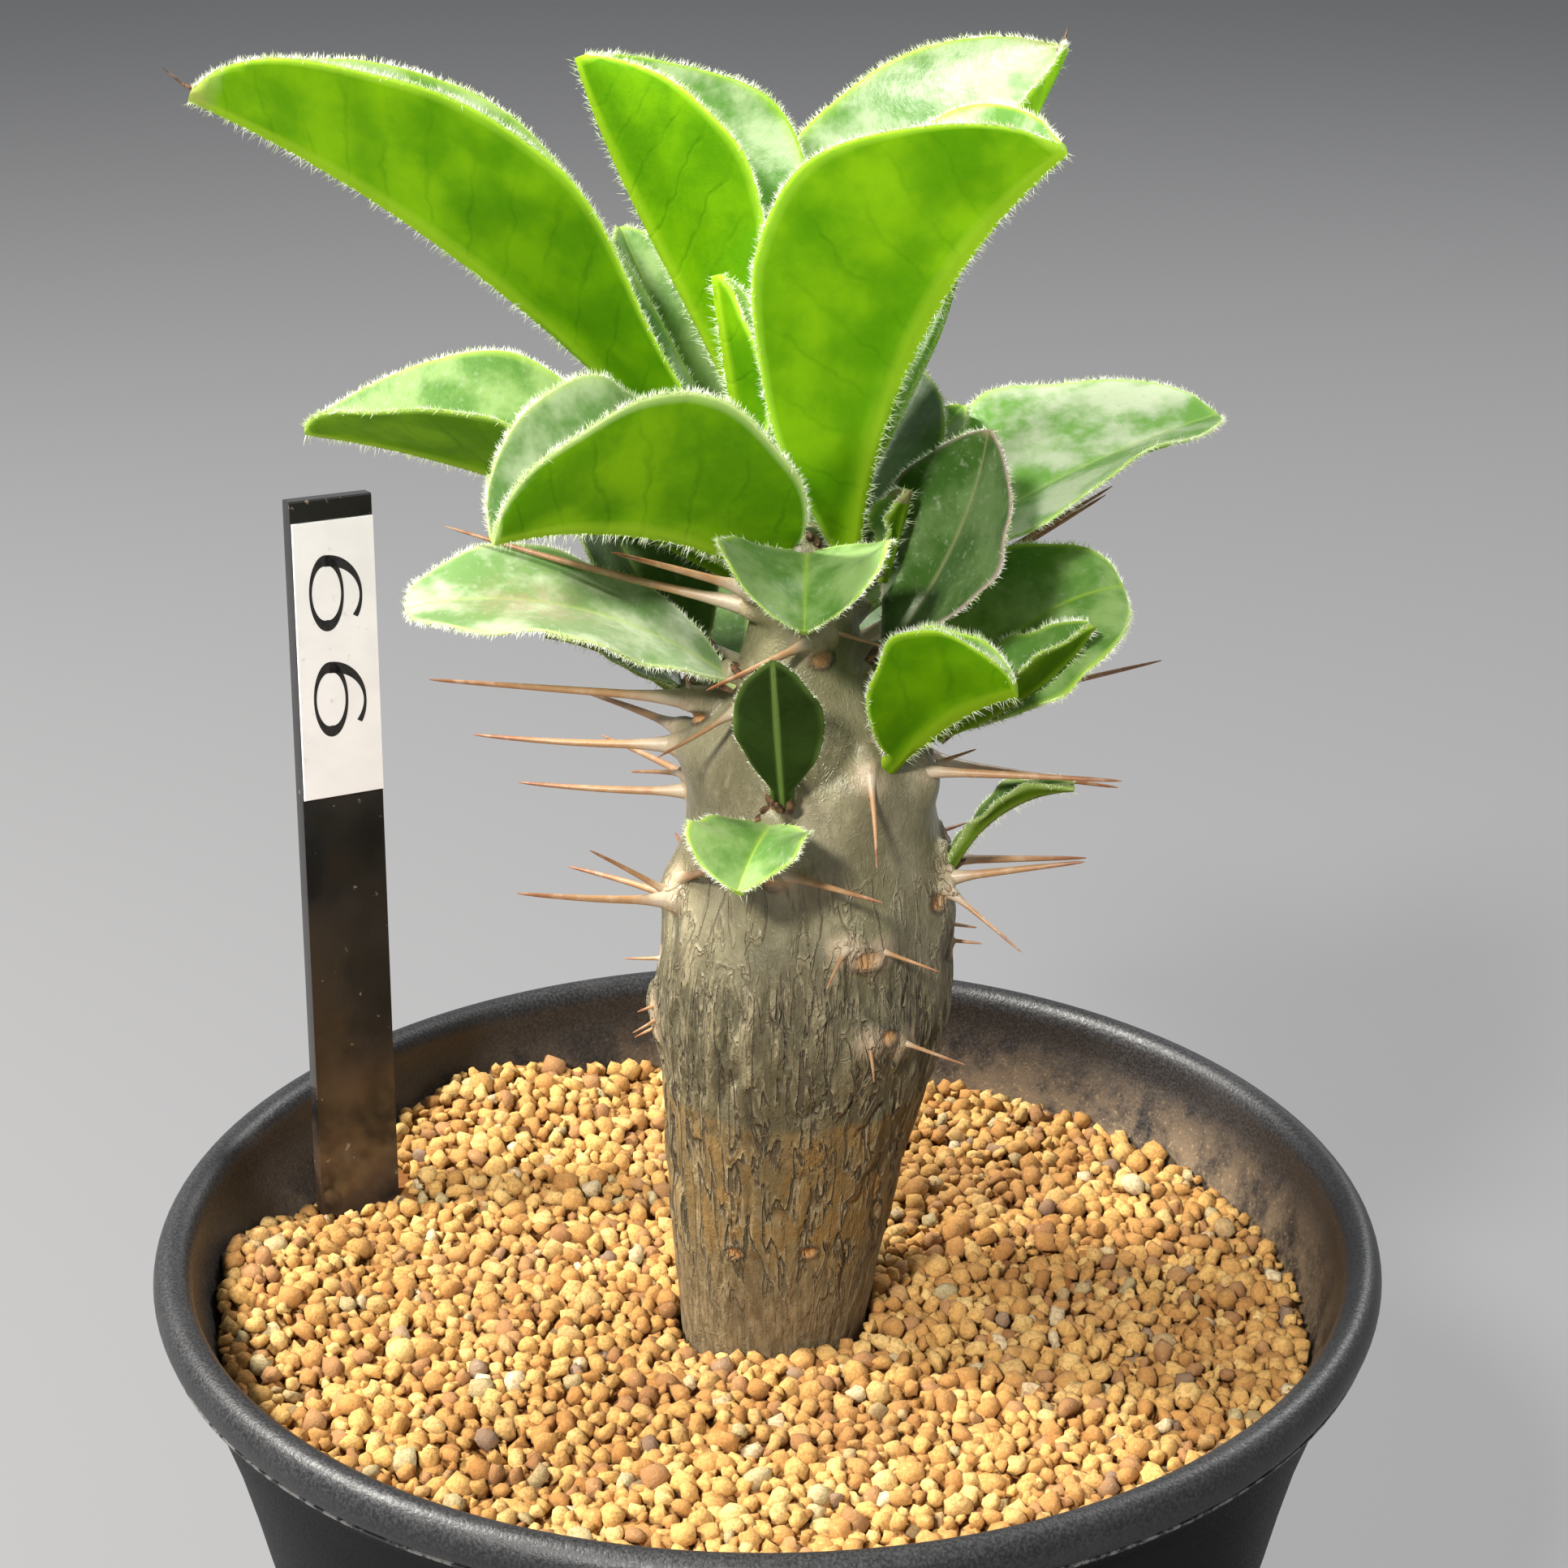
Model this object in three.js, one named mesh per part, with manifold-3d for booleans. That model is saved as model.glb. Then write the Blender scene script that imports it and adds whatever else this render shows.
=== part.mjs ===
// A potted kudu lily: a swollen spiny stem with folded leaves, standing in clay grit in a
// round plastic pot with a rolled rim, with a black plant tag beside the rim.
// Millimetres, +Z up. The origin is the middle of the pot's foot, and the front faces -Y.
import * as THREE from 'three';
import { mergeVertices } from 'three/addons/utils/BufferGeometryUtils.js';
import Module from 'manifold-3d';

const wasm = await Module();
wasm.setup();

// Driving dimensions
const RIM_DIAMETER = 135;
const POT_HEIGHT = 118;
const FOOT_RADIUS = 47.5;
const FOOT_WIDTH = 4;
const FOOT_HEIGHT = 2.5;
const FLOOR_THICKNESS = 2.4;
const POT_SIDES = 48;
const DRAIN_HOLES = 6;
const DRAIN_RADIUS = 3.5;
const DRAIN_CIRCLE = 26;
const GAP = 0.3;
const SOIL_LEVEL = 106;
const GRAIN_SPACING = 4.4;
const GRAIN_RELIEF = 0.9;
const STEM_FOOT = 84;
const STEM_COLUMNS = 36;
const BARK_DEPTH = 0.45;
const BARK_RIDGES = 9;
const LEAF_THICKNESS = 0.7;
const LEAF_STEPS = [[20, 6], [40, 8], [Infinity, 10]];
const PETIOLE_HALF_WIDTH = 0.9;
const TAG_WIDTH = 9.9;
const TAG_THICKNESS = 2;
const TAG_TOP = 191.8;
const TAG_SHOULDER = 102;
const TAG_POINT = 92;
const TAPE_TOP = 189.4;
const TAPE_BOTTOM = 156.9;
const TAPE_THICKNESS = 0.4;

const RIM_RADIUS = RIM_DIAMETER / 2;
const FLOOR_TOP = FOOT_HEIGHT + FLOOR_THICKNESS;

// Small helpers: a closed mesh as a solid, a solid as a mesh, and a repeatable draw
function solidOf(geometry) {
  const plain = geometry.clone();
  for (const name of Object.keys(plain.attributes)) {
    if (name !== 'position') plain.deleteAttribute(name);
  }
  const merged = mergeVertices(plain, 1e-5);
  return new wasm.Manifold(new wasm.Mesh({
    numProp: 3,
    vertProperties: new Float32Array(merged.attributes.position.array),
    triVerts: new Uint32Array(merged.index.array),
  }));
}

function geometryOf(solid) {
  const mesh = solid.getMesh();
  const geometry = new THREE.BufferGeometry();
  const places = new Float32Array(mesh.numVert * 3);
  for (let i = 0; i < mesh.numVert; i++) {
    for (let k = 0; k < 3; k++) places[3 * i + k] = mesh.vertProperties[mesh.numProp * i + k];
  }
  geometry.setAttribute('position', new THREE.BufferAttribute(places, 3));
  geometry.setIndex(Array.from(mesh.triVerts));
  return geometry;
}

function meshOfTriangles(points, triangles) {
  const geometry = new THREE.BufferGeometry();
  geometry.setAttribute('position', new THREE.Float32BufferAttribute(points.flat(), 3));
  geometry.setIndex(triangles.flat());
  return geometry;
}

function draw(i, j, k = 0) {
  const value = Math.sin(i * 12.9898 + j * 78.233 + k * 37.719) * 43758.5453;
  return value - Math.floor(value);
}

const radians = THREE.MathUtils.degToRad;

// Linear value from a list of [height, value, ...] rows
function along(rows, height, column) {
  let i = 1;
  while (i < rows.length - 1 && rows[i][0] < height) i++;
  const low = rows[i - 1];
  const high = rows[i];
  const share = THREE.MathUtils.clamp((height - low[0]) / (high[0] - low[0]), 0, 1);
  return low[column] + share * (high[column] - low[column]);
}

// A lathe about Z from [radius, height] points, which starts and ends on the axis or closes
function turned(profile, sides) {
  const points = profile.map(([radius, height]) => new THREE.Vector2(radius, height));
  return new THREE.LatheGeometry(points, sides).rotateX(Math.PI / 2);
}

// A closed tube through rings of equally many points, given from its start to its end
function skinned(rings) {
  const sides = rings[0].length;
  const points = rings.flat();
  const triangles = [];
  for (let i = 0; i + 1 < rings.length; i++) {
    for (let j = 0; j < sides; j++) {
      const a = i * sides + j;
      const b = i * sides + (j + 1) % sides;
      triangles.push([a, b, b + sides], [a, b + sides, a + sides]);
    }
  }
  const last = (rings.length - 1) * sides;
  for (let j = 1; j + 1 < sides; j++) {
    triangles.push([0, j + 1, j], [last, last + j, last + j + 1]);
  }
  return meshOfTriangles(points, triangles);
}

// A ring of points about a centre, square to a direction
function ringAbout(centre, direction, radius, sides) {
  const normal = direction.clone().normalize();
  const helper = Math.abs(normal.z) > 0.9 ? new THREE.Vector3(1, 0, 0) : new THREE.Vector3(0, 0, 1);
  const side = new THREE.Vector3().crossVectors(helper, normal).normalize();
  const up = new THREE.Vector3().crossVectors(normal, side);
  const ring = [];
  for (let j = 0; j < sides; j++) {
    const angle = 2 * Math.PI * j / sides;
    const point = centre.clone();
    point.addScaledVector(side, radius * Math.cos(angle));
    point.addScaledVector(up, radius * Math.sin(angle));
    ring.push(point.toArray());
  }
  return ring;
}

// Pot: the wall draws in under the rim and then runs nearly straight down to a foot ring
const POT_OUTSIDE = [
  [FOOT_RADIUS, 0], [48.6, 8], [52.6, 50], [55.4, 75],
  [57.6, 86], [60.4, 98], [65.8, 112.9], [67.0, 113.6],
];
const POT_RIM = [
  [RIM_RADIUS, 115.4], [66.9, 117.2], [65.3, POT_HEIGHT], [63.9, 117.3], [63.3, 115.8],
];
const POT_INSIDE = [
  [62.9, 112], [58.2, 98], [53.2, 75], [50.4, 50], [46.6, FLOOR_TOP],
];

function makePot() {
  const footInside = FOOT_RADIUS - FOOT_WIDTH;
  const underside = [[0, FOOT_HEIGHT], [footInside, FOOT_HEIGHT], [footInside, 0]];
  const profile = [...underside, ...POT_OUTSIDE, ...POT_RIM, ...POT_INSIDE, [0, FLOOR_TOP]];
  let pot = solidOf(turned(profile, POT_SIDES));
  for (let i = 0; i < DRAIN_HOLES; i++) {
    const angle = 2 * Math.PI * (i + 0.5) / DRAIN_HOLES;
    const drill = new THREE.CylinderGeometry(DRAIN_RADIUS, DRAIN_RADIUS, 3 * FLOOR_THICKNESS, 10);
    drill.rotateX(Math.PI / 2);
    drill.translate(DRAIN_CIRCLE * Math.cos(angle), DRAIN_CIRCLE * Math.sin(angle), FLOOR_TOP);
    pot = pot.subtract(solidOf(drill));
  }
  return geometryOf(pot);
}

// Stem: stations of its outline as [height, middle x, radius]
const STEM_STATIONS = [
  [84, 0, 8.0], [100, 0.3, 9.8], [107, 0.7, 10.6], [117, 1.2, 11.9], [127.5, 2.0, 13.1],
  [137, 3.4, 14.7], [143.5, 3.9, 15.9], [152, 4.1, 15.6], [158.5, 4.6, 14.2], [166, 4.7, 13.2],
  [171, 4.6, 12.8], [175, 4.2, 11.2], [178, 3.8, 8.6], [181, 3.6, 7.0], [186, 3.8, 5.9],
  [191, 3.8, 5.0], [195, 3.6, 3.6], [197.5, 3.5, 1.5],
];
const STEM_TOP = 197.5;
const BARK_FROM = 110;
const BARK_TO = 154;

// Cushions that old leaves left on the stem, as [degrees about Z, height, how far it stands out]
const CUSHIONS = [
  [180, 158, 1.6], [272, 164.5, 1.0], [300, 173, 1.5], [8, 160, 1.6], [340, 172, 1.8], [345, 156, 1.3],
  [295, 157, 1.6], [298, 146, 1.2], [200, 175, 1.6], [240, 179, 1.6], [178, 143, 1.2], [185, 174, 1.4],
  [100, 168, 1.5], [70, 155, 1.5], [130, 150, 1.4], [50, 172, 1.5], [150, 166, 1.5], [90, 142, 1.2],
];
const CUSHION_SPREAD = 3.4;

function stemAxis(height) {
  return new THREE.Vector3(along(STEM_STATIONS, height, 1), 0, height);
}

function stemRadius(angle, height) {
  const round = along(STEM_STATIONS, height, 2);
  let radius = round;
  for (const [degrees, middle, standing] of CUSHIONS) {
    let turn = angle - radians(degrees);
    turn -= 2 * Math.PI * Math.round(turn / (2 * Math.PI));
    const across = turn * round / CUSHION_SPREAD;
    const upright = (height - middle) / CUSHION_SPREAD;
    radius += standing * Math.exp(-across * across - upright * upright);
  }
  if (height > BARK_FROM && height < BARK_TO) {
    const strength = Math.sin(Math.PI * (height - BARK_FROM) / (BARK_TO - BARK_FROM));
    const wander = 1.4 * Math.sin(0.42 * height + 3 * angle);
    radius += BARK_DEPTH * Math.sqrt(strength) * Math.sin(BARK_RIDGES * angle + wander);
  }
  return radius;
}

function stemTrunk() {
  const heights = [STEM_FOOT, 95, 104, 108];
  for (let height = 112; height < 177; height += 3) heights.push(height);
  heights.push(178, 180, 183, 187, 191, 195, STEM_TOP);
  const rings = heights.map((height) => {
    const axis = stemAxis(height);
    const ring = [];
    for (let j = 0; j < STEM_COLUMNS; j++) {
      const angle = 2 * Math.PI * j / STEM_COLUMNS;
      const radius = stemRadius(angle, height);
      ring.push([axis.x + radius * Math.cos(angle), axis.y + radius * Math.sin(angle), height]);
    }
    return ring;
  });
  return skinned(rings);
}

// Spines, as the place of the root and of the tip. Long ones stand in pairs beside a leaf's scar.
const SPINES = [
  [-9.0, -2.0, 179.5, -34.5, -6.0, 183.0], [-9.5, 3.0, 174.5, -20.0, 14.0, 174.5],
  [-10.0, -1.0, 174.0, -31.0, 2.0, 174.0], [-9.0, 6.0, 168.0, -15.0, 13.0, 165.5],
  [4.5, -6.0, 187.0, -6.0, -15.0, 185.0], [-3.5, -8.0, 180.0, -11.0, -14.0, 177.5],
  [-10.5, -3.0, 158.0, -18.5, -7.0, 164.5], [-10.5, -5.0, 158.0, -26.0, -9.0, 160.5],
  [-9.0, -3.0, 159.6, -5.0, -19.0, 167.5], [1.5, -13.5, 164.5, 11.5, -22.0, 165.0],
  [10.5, -11.0, 174.0, 11.0, -18.0, 167.0], [15.5, -5.0, 172.5, 36.5, -8.0, 172.5],
  [18.0, 3.0, 170.5, 38.0, 8.0, 165.5], [19.0, 1.0, 160.0, 34.5, 5.0, 158.5],
  [19.0, -4.0, 160.0, 33.0, -8.0, 163.5], [19.5, -6.0, 159.0, 26.5, -11.0, 154.5],
  [8.0, -15.0, 156.5, 6.0, -20.0, 154.5], [11.5, -13.5, 156.0, 17.5, -19.0, 156.0],
  [10.5, -14.5, 146.0, 11.0, -18.0, 143.0], [14.0, -12.5, 145.0, 20.5, -17.0, 144.5],
  [19.5, 0.0, 153.0, 22.5, 0.0, 152.5], [19.5, -1.0, 151.5, 23.0, -2.0, 151.5],
  [-11.5, -2.0, 144.5, -14.0, -3.0, 144.0], [-11.5, -2.0, 143.0, -14.5, -4.0, 142.0],
  [-11.5, -2.0, 142.0, -14.5, 0.0, 139.5], [-11.0, 0.0, 149.0, -15.5, 1.0, 148.5],
  [9.5, 7.0, 182.5, 37.0, 16.0, 197.0], [9.5, 8.5, 181.5, 36.5, 17.5, 195.6],
  [6.0, -5.0, 188.0, 13.5, -6.0, 186.0], [16.5, 8.5, 173.5, 43.5, 19.0, 176.2],
  [-2.5, -5.0, 192.5, -15.5, -9.0, 197.5], [-2.5, -3.0, 190.0, -33.0, 1.0, 197.2],
  [18.0, 0.0, 171.5, 22.0, 0.0, 173.0], [-8.0, -2.0, 180.5, -9.0, -3.0, 185.0],
  [7.5, -2.0, 189.5, 12.0, -2.0, 196.5],
];

// Spines of the far side, in pairs, as [degrees about Z, height, length, rise in degrees]
const FAR_PAIRS = [
  [100, 168, 20, 5], [70, 155, 18, -5], [130, 150, 17, 5],
  [50, 172, 22, 10], [150, 166, 19, 0], [90, 142, 12, -10],
];
const FAR_PAIR_SPREAD = 22;
const SPINE_SIDES = 4;
const SPINE_ROOT_RADIUS = 1.3;
const SPINE_MIDDLE_RADIUS = 0.62;
const SPINE_TIP_RADIUS = 0.22;
const SPINE_SUNK = 2.5;

function spine(root, tip) {
  const direction = tip.clone().sub(root);
  const length = direction.length();
  direction.normalize();
  const scale = THREE.MathUtils.clamp(length / 15, 0.45, 1);
  const axis = stemAxis(root.z);
  const standing = Math.hypot(root.x - axis.x, root.y) - along(STEM_STATIONS, root.z, 2);
  const start = root.clone().addScaledVector(direction, -SPINE_SUNK - Math.max(standing, 0));
  const knee = root.clone().addScaledVector(direction, 0.22 * length);
  return skinned([
    ringAbout(start, direction, SPINE_ROOT_RADIUS * scale, SPINE_SIDES),
    ringAbout(root, direction, SPINE_ROOT_RADIUS * scale, SPINE_SIDES),
    ringAbout(knee, direction, SPINE_MIDDLE_RADIUS * scale, SPINE_SIDES),
    ringAbout(tip, direction, SPINE_TIP_RADIUS, SPINE_SIDES),
  ]);
}

function spineRows() {
  const rows = SPINES.map((row) => {
    const root = new THREE.Vector3(...row.slice(0, 3));
    return [root, new THREE.Vector3(...row.slice(3))];
  });
  for (const [degrees, height, length, rise] of FAR_PAIRS) {
    for (const side of [-1, 1]) {
      const angle = radians(degrees + 5 * side);
      const root = stemAxis(height);
      const out = stemRadius(angle, height) - 0.5;
      root.add(new THREE.Vector3(out * Math.cos(angle), out * Math.sin(angle), 0));
      const heading = radians(degrees + FAR_PAIR_SPREAD * side);
      const run = length * Math.cos(radians(rise));
      const lift = length * Math.sin(radians(rise));
      const reach = new THREE.Vector3(run * Math.cos(heading), run * Math.sin(heading), lift);
      rows.push([root, root.clone().add(reach)]);
    }
  }
  return rows;
}

// Leaves. base is where the leaf meets its cushion. head and turn are its compass heading and
// how far that changes to the tip, rise and droop its slope and how far that changes, bow how
// far it bends further midway, and fold and fold2 how far the left and right half fold up.
// skew makes the left half wider, and wave is how far the margins ripple up and down.
const LEAVES = [
  { base: [1, 5.2, 193.3], head: 177, rise: 52, droop: -29, length: 75.5, width: 32.4,
    fold: 57, fold2: 43, cup: 8, roll: 3, peak: 1.5, blunt: 0.68, wave: 0.6 },
  { base: [2.5, 5.9, 194.1], head: 150, rise: 78, droop: -9, length: 54, width: 32.9,
    fold: 74, fold2: 59, bow: -17, cup: 8, peak: 1.9, wave: 0.5 },
  { base: [5, 4.8, 193.5], head: 38, rise: 58, droop: -5, length: 58.5, width: 40.7,
    fold: 38, fold2: 44, cup: 10, peak: 1.6, blunt: 0.65, wave: 0.8 },
  { base: [7.5, -3.1, 193.5], head: 331, rise: 83, droop: -44, length: 52, width: 34,
    fold: 58, fold2: 52, cup: 6, roll: 3, peak: 1.55, blunt: 0.66, skew: -0.08, wave: 0.6 },
  { base: [0, 7.9, 191.4], head: 128, rise: 51, droop: -1, length: 40, width: 18,
    fold: 30, fold2: 33 },
  { base: [0.6, -2, 197.4], head: 170, rise: 77, droop: 5, length: 26.5, width: 9,
    fold: 50 },
  { base: [-1, 1.6, 191.3], head: 165, rise: 25, droop: -23, length: 51, width: 26,
    fold: 38, fold2: 42, wave: 0.9 },
  { base: [0.5, -3.7, 194.7], head: 212, rise: 31, droop: -37, length: 33, width: 31.9,
    fold: 57, fold2: 63, cup: 12, roll: 9, peak: 0.9, blunt: 0.6 },
  { base: [-4, -4.2, 182.8], head: 186, rise: 36, droop: -48, length: 34.5, width: 17.6,
    fold: 11, fold2: 8, roll: -14, blunt: 0.55, wave: 0.8 },
  { base: [-6.5, 6.2, 181.2], head: 144, rise: 31, droop: 47, length: 24.5, width: 19.6,
    fold: 30, fold2: 33, roll: -10, peak: 1.1, blunt: 0.7 },
  { base: [-8.5, 2, 179], head: 160, rise: 32, droop: -35, length: 16.5, width: 14,
    fold: 20 },
  { base: [4, -7.5, 197.2], head: 268, rise: -10, droop: -36, length: 11.5, width: 20,
    fold: 36, cup: 12, peak: 1, blunt: 0.6 },
  { base: [11.5, -3.9, 184.5], head: 27, rise: 44, droop: 38, length: 26, width: 20.9,
    fold: 27, fold2: 0, roll: -7 },
  { base: [18, 2.6, 174.5], head: 15, rise: 60, droop: -57, length: 25.5, width: 20,
    fold: 19, fold2: 13, roll: 28, blunt: 0.5, skew: -0.15, wave: 0.6 },
  { base: [12.5, -8.5, 175.5], head: 341, rise: 51, droop: -36, length: 16, width: 19,
    fold: 86, fold2: 62, blunt: 0.6, skew: -0.15 },
  { base: [15.5, -3, 176], head: 0, rise: 15.5, droop: 42, length: 21.5, width: 12,
    fold: 35 },
  { base: [9.6, 5.1, 187.4], head: 20, rise: 31, droop: -20, length: 44.5, width: 26.3,
    fold: 18, roll: 4, skew: 0.15, wave: 0.9 },
  { base: [6.2, 6.4, 192], head: 62, rise: 31.5, droop: 24.6, length: 25.5, width: 18,
    fold: 20 },
  { base: [8.6, 7.8, 190], head: 50, rise: 40, droop: -10, length: 24, width: 10,
    fold: 25 },
  { base: [11.5, 1, 192.5], head: 20, rise: 72, droop: 0, length: 8.5, width: 5,
    fold: 45 },
  { base: [1.6, -13.6, 173], head: 262, rise: 66, droop: 5, length: 18, width: 9,
    fold: 12 },
  { base: [0.5, -14.4, 170.6], head: 250, rise: -6, droop: -30, length: 10.5, width: 14,
    fold: 30, blunt: 0.6 },
  { base: [19, -3.2, 162], head: 350, rise: 62, droop: -60, length: 16.5, width: 3.6,
    fold: 35 },
  { base: [5, 8, 184.5], head: 85, rise: 38, droop: -25, length: 30, width: 18,
    fold: 25 },
  { base: [-3.5, 9.5, 177.5], head: 115, rise: 25, droop: -30, length: 24, width: 14,
    fold: 22 },
  { base: [10.5, 10.5, 175], head: 75, rise: 20, droop: -30, length: 26, width: 15,
    fold: 22 },
];
const LEAF_DEFAULTS = {
  turn: 0, bow: 0, fold2: null, cup: 0, roll: 0, peak: 1.25, blunt: 0.75, skew: 0, wave: 0.35,
};
const LEAF_WAVES = 2;
const BEND_POWER = 1.2;
const HALF_STEPS = 2;

function leafDirection(leaf, share) {
  const bent = leaf.droop * share ** BEND_POWER + leaf.bow * Math.sin(Math.PI * share);
  const slope = radians(leaf.rise + bent);
  const heading = radians(leaf.head + leaf.turn * share);
  const flat = Math.cos(slope);
  return new THREE.Vector3(flat * Math.cos(heading), flat * Math.sin(heading), Math.sin(slope));
}

// The midrib is walked in small steps; across it each half is folded up and may cup further
function leafBlade(given) {
  const leaf = { ...LEAF_DEFAULTS, ...given };
  const steps = LEAF_STEPS.find(([longest]) => leaf.length < longest)[1];
  const spot = new THREE.Vector3(...leaf.base).addScaledVector(leafDirection(leaf, 0), GAP);
  const upper = [];
  const lower = [];
  for (let i = 0; i <= steps; i++) {
    const share = i / steps;
    const halfway = leafDirection(leaf, share - 0.5 / steps);
    if (i > 0) spot.addScaledVector(halfway, leaf.length / steps);
    const forward = leafDirection(leaf, share);
    const heading = radians(leaf.head + leaf.turn * share);
    const level = new THREE.Vector3(-Math.sin(heading), Math.cos(heading), 0);
    const top = new THREE.Vector3().crossVectors(forward, level);
    const roll = radians(leaf.roll);
    const left = level.clone().multiplyScalar(Math.cos(roll)).addScaledVector(top, Math.sin(roll));
    const up = top.clone().multiplyScalar(Math.cos(roll)).addScaledVector(level, -Math.sin(roll));
    const outline = leaf.width / 2 * Math.sin(Math.PI * share ** leaf.peak) ** leaf.blunt;
    const half = Math.max(outline, PETIOLE_HALF_WIDTH * (1 - share) + 0.25);
    const opening = Math.min(1, 0.35 + 1.2 * share);
    const rowUpper = [];
    const rowLower = [];
    for (const side of [1, -1]) {
      const fold = side > 0 || leaf.fold2 === null ? leaf.fold : leaf.fold2;
      const reach = half * (1 + side * leaf.skew);
      let across = 0;
      let raised = 0;
      const sideUpper = [];
      const sideLower = [];
      for (let k = 0; k <= HALF_STEPS; k++) {
        const portion = Math.max(k - 0.5, 0) / HALF_STEPS;
        const angle = radians((fold + leaf.cup * (2 * portion - 1)) * opening);
        if (k > 0) {
          across += Math.cos(angle) * reach / HALF_STEPS;
          raised += Math.sin(angle) * reach / HALF_STEPS;
        }
        const ripple = leaf.wave * outline / leaf.width * 2 * (k / HALF_STEPS) ** 2;
        const lift = raised + ripple * Math.sin(2 * Math.PI * LEAF_WAVES * share + side);
        const point = spot.clone().addScaledVector(left, side * across).addScaledVector(up, lift);
        const below = point.clone();
        if (k === 0) {
          below.addScaledVector(up, -LEAF_THICKNESS / Math.max(Math.cos(angle), 0.6));
        } else {
          below.addScaledVector(up, -LEAF_THICKNESS * Math.cos(angle));
          below.addScaledVector(left, side * LEAF_THICKNESS * Math.sin(angle));
        }
        sideUpper.push(point.toArray());
        sideLower.push(below.toArray());
      }
      if (side > 0) {
        rowUpper.push(...sideUpper.reverse());
        rowLower.push(...sideLower.reverse());
      } else {
        rowUpper.push(...sideUpper.slice(1));
        rowLower.push(...sideLower.slice(1));
      }
    }
    upper.push(rowUpper);
    lower.push(rowLower);
  }
  return closedSheet(upper, lower);
}

// A closed sheet between an upper and a lower grid of points, split alike on both faces
function closedSheet(upper, lower) {
  const rows = upper.length;
  const columns = upper[0].length;
  const points = [...upper.flat(), ...lower.flat()];
  const below = rows * columns;
  const at = (i, j) => i * columns + j;
  const triangles = [];
  for (let i = 0; i + 1 < rows; i++) {
    for (let j = 0; j + 1 < columns; j++) {
      const a = at(i, j);
      const b = at(i, j + 1);
      const c = at(i + 1, j + 1);
      const d = at(i + 1, j);
      if (j < (columns - 1) / 2) {
        triangles.push([a, b, c], [a, c, d]);
        triangles.push([below + a, below + c, below + b], [below + a, below + d, below + c]);
      } else {
        triangles.push([a, b, d], [b, c, d]);
        triangles.push([below + a, below + d, below + b], [below + b, below + d, below + c]);
      }
    }
    const right = at(i, columns - 1);
    const nextRight = at(i + 1, columns - 1);
    triangles.push([right, below + right, nextRight], [nextRight, below + right, below + nextRight]);
    const start = at(i, 0);
    const next = at(i + 1, 0);
    triangles.push([start, next, below + start], [next, below + next, below + start]);
  }
  for (let j = 0; j + 1 < columns; j++) {
    const near = at(0, j);
    triangles.push([near, below + near, near + 1], [near + 1, below + near, below + near + 1]);
    const far = at(rows - 1, j);
    triangles.push([far, far + 1, below + far], [far + 1, below + far + 1, below + far]);
  }
  return meshOfTriangles(points, triangles);
}

// Leaf cushion: a short arm out of the stem that ends flat where its leaf sits
const CUSHION_ROOT_RADIUS = 2.2;
const CUSHION_SEAT_RADIUS = 1.2;
const CUSHION_SIDES = 6;

function leafCushion(given) {
  const leaf = { ...LEAF_DEFAULTS, ...given };
  const seat = new THREE.Vector3(...leaf.base);
  const root = stemAxis(Math.min(seat.z - 3.5, STEM_TOP - 4));
  const direction = leafDirection(leaf, 0);
  const outward = seat.clone().sub(root).normalize();
  const middle = root.clone().lerp(seat, 0.55);
  return skinned([
    ringAbout(root, outward, CUSHION_ROOT_RADIUS, CUSHION_SIDES),
    ringAbout(middle, outward, CUSHION_ROOT_RADIUS, CUSHION_SIDES),
    ringAbout(seat, direction, CUSHION_SEAT_RADIUS, CUSHION_SIDES),
  ]);
}

function makeStem() {
  let stem = solidOf(stemTrunk());
  for (const leaf of LEAVES) stem = stem.add(solidOf(leafCushion(leaf)));
  for (const [root, tip] of spineRows()) stem = stem.add(solidOf(spine(root, tip)));
  return geometryOf(stem);
}

// Tag: a thin plate with a pointed foot. It is turned a little to the right and leans back.
const TAG_CORNER = new THREE.Vector3(-53, 28, 0);
const TAG_TURN = radians(30);
const TAG_LEAN = radians(3.7);

function tagPlate(grow, from, upTo, point, width, thickness, offset) {
  const outline = new THREE.Shape();
  outline.moveTo(-grow, from);
  outline.lineTo(width / 2, point);
  outline.lineTo(width + grow, from);
  outline.lineTo(width + grow, upTo);
  outline.lineTo(-grow, upTo);
  outline.closePath();
  const plate = new THREE.ExtrudeGeometry(outline, { depth: thickness + 2 * grow, bevelEnabled: false });
  plate.rotateX(Math.PI / 2);
  plate.translate(0, thickness + grow + offset, -TAG_TOP);
  plate.rotateZ(TAG_TURN);
  plate.rotateX(-TAG_LEAN);
  plate.translate(TAG_CORNER.x, TAG_CORNER.y, TAG_TOP);
  return plate;
}

function makeTag() {
  return tagPlate(0, TAG_SHOULDER, TAG_TOP, TAG_POINT, TAG_WIDTH, TAG_THICKNESS, 0);
}

function makeTape() {
  const middle = TAPE_BOTTOM;
  return tagPlate(0, TAPE_BOTTOM, TAPE_TOP, middle, TAG_WIDTH, TAPE_THICKNESS, -TAPE_THICKNESS - GAP);
}

// Grit: low mounds and dips as [x, y, height, reach], and grains raised on a staggered net
const SOIL_MOUNDS = [
  [-36, 47, 5, 17], [-60, 3, 4.5, 14], [-52, 24, -1.5, 8],
  [0, -32, 1, 20], [-10, -6, -1.8, 6], [14, 4, 0.8, 9],
];
const SOIL_MARGIN = 66;

function soilHeight(x, y) {
  let height = SOIL_LEVEL;
  for (const [cx, cy, rise, reach] of SOIL_MOUNDS) {
    const away = ((x - cx) ** 2 + (y - cy) ** 2) / (reach * reach);
    height += rise * Math.exp(-away);
  }
  return height;
}

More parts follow.
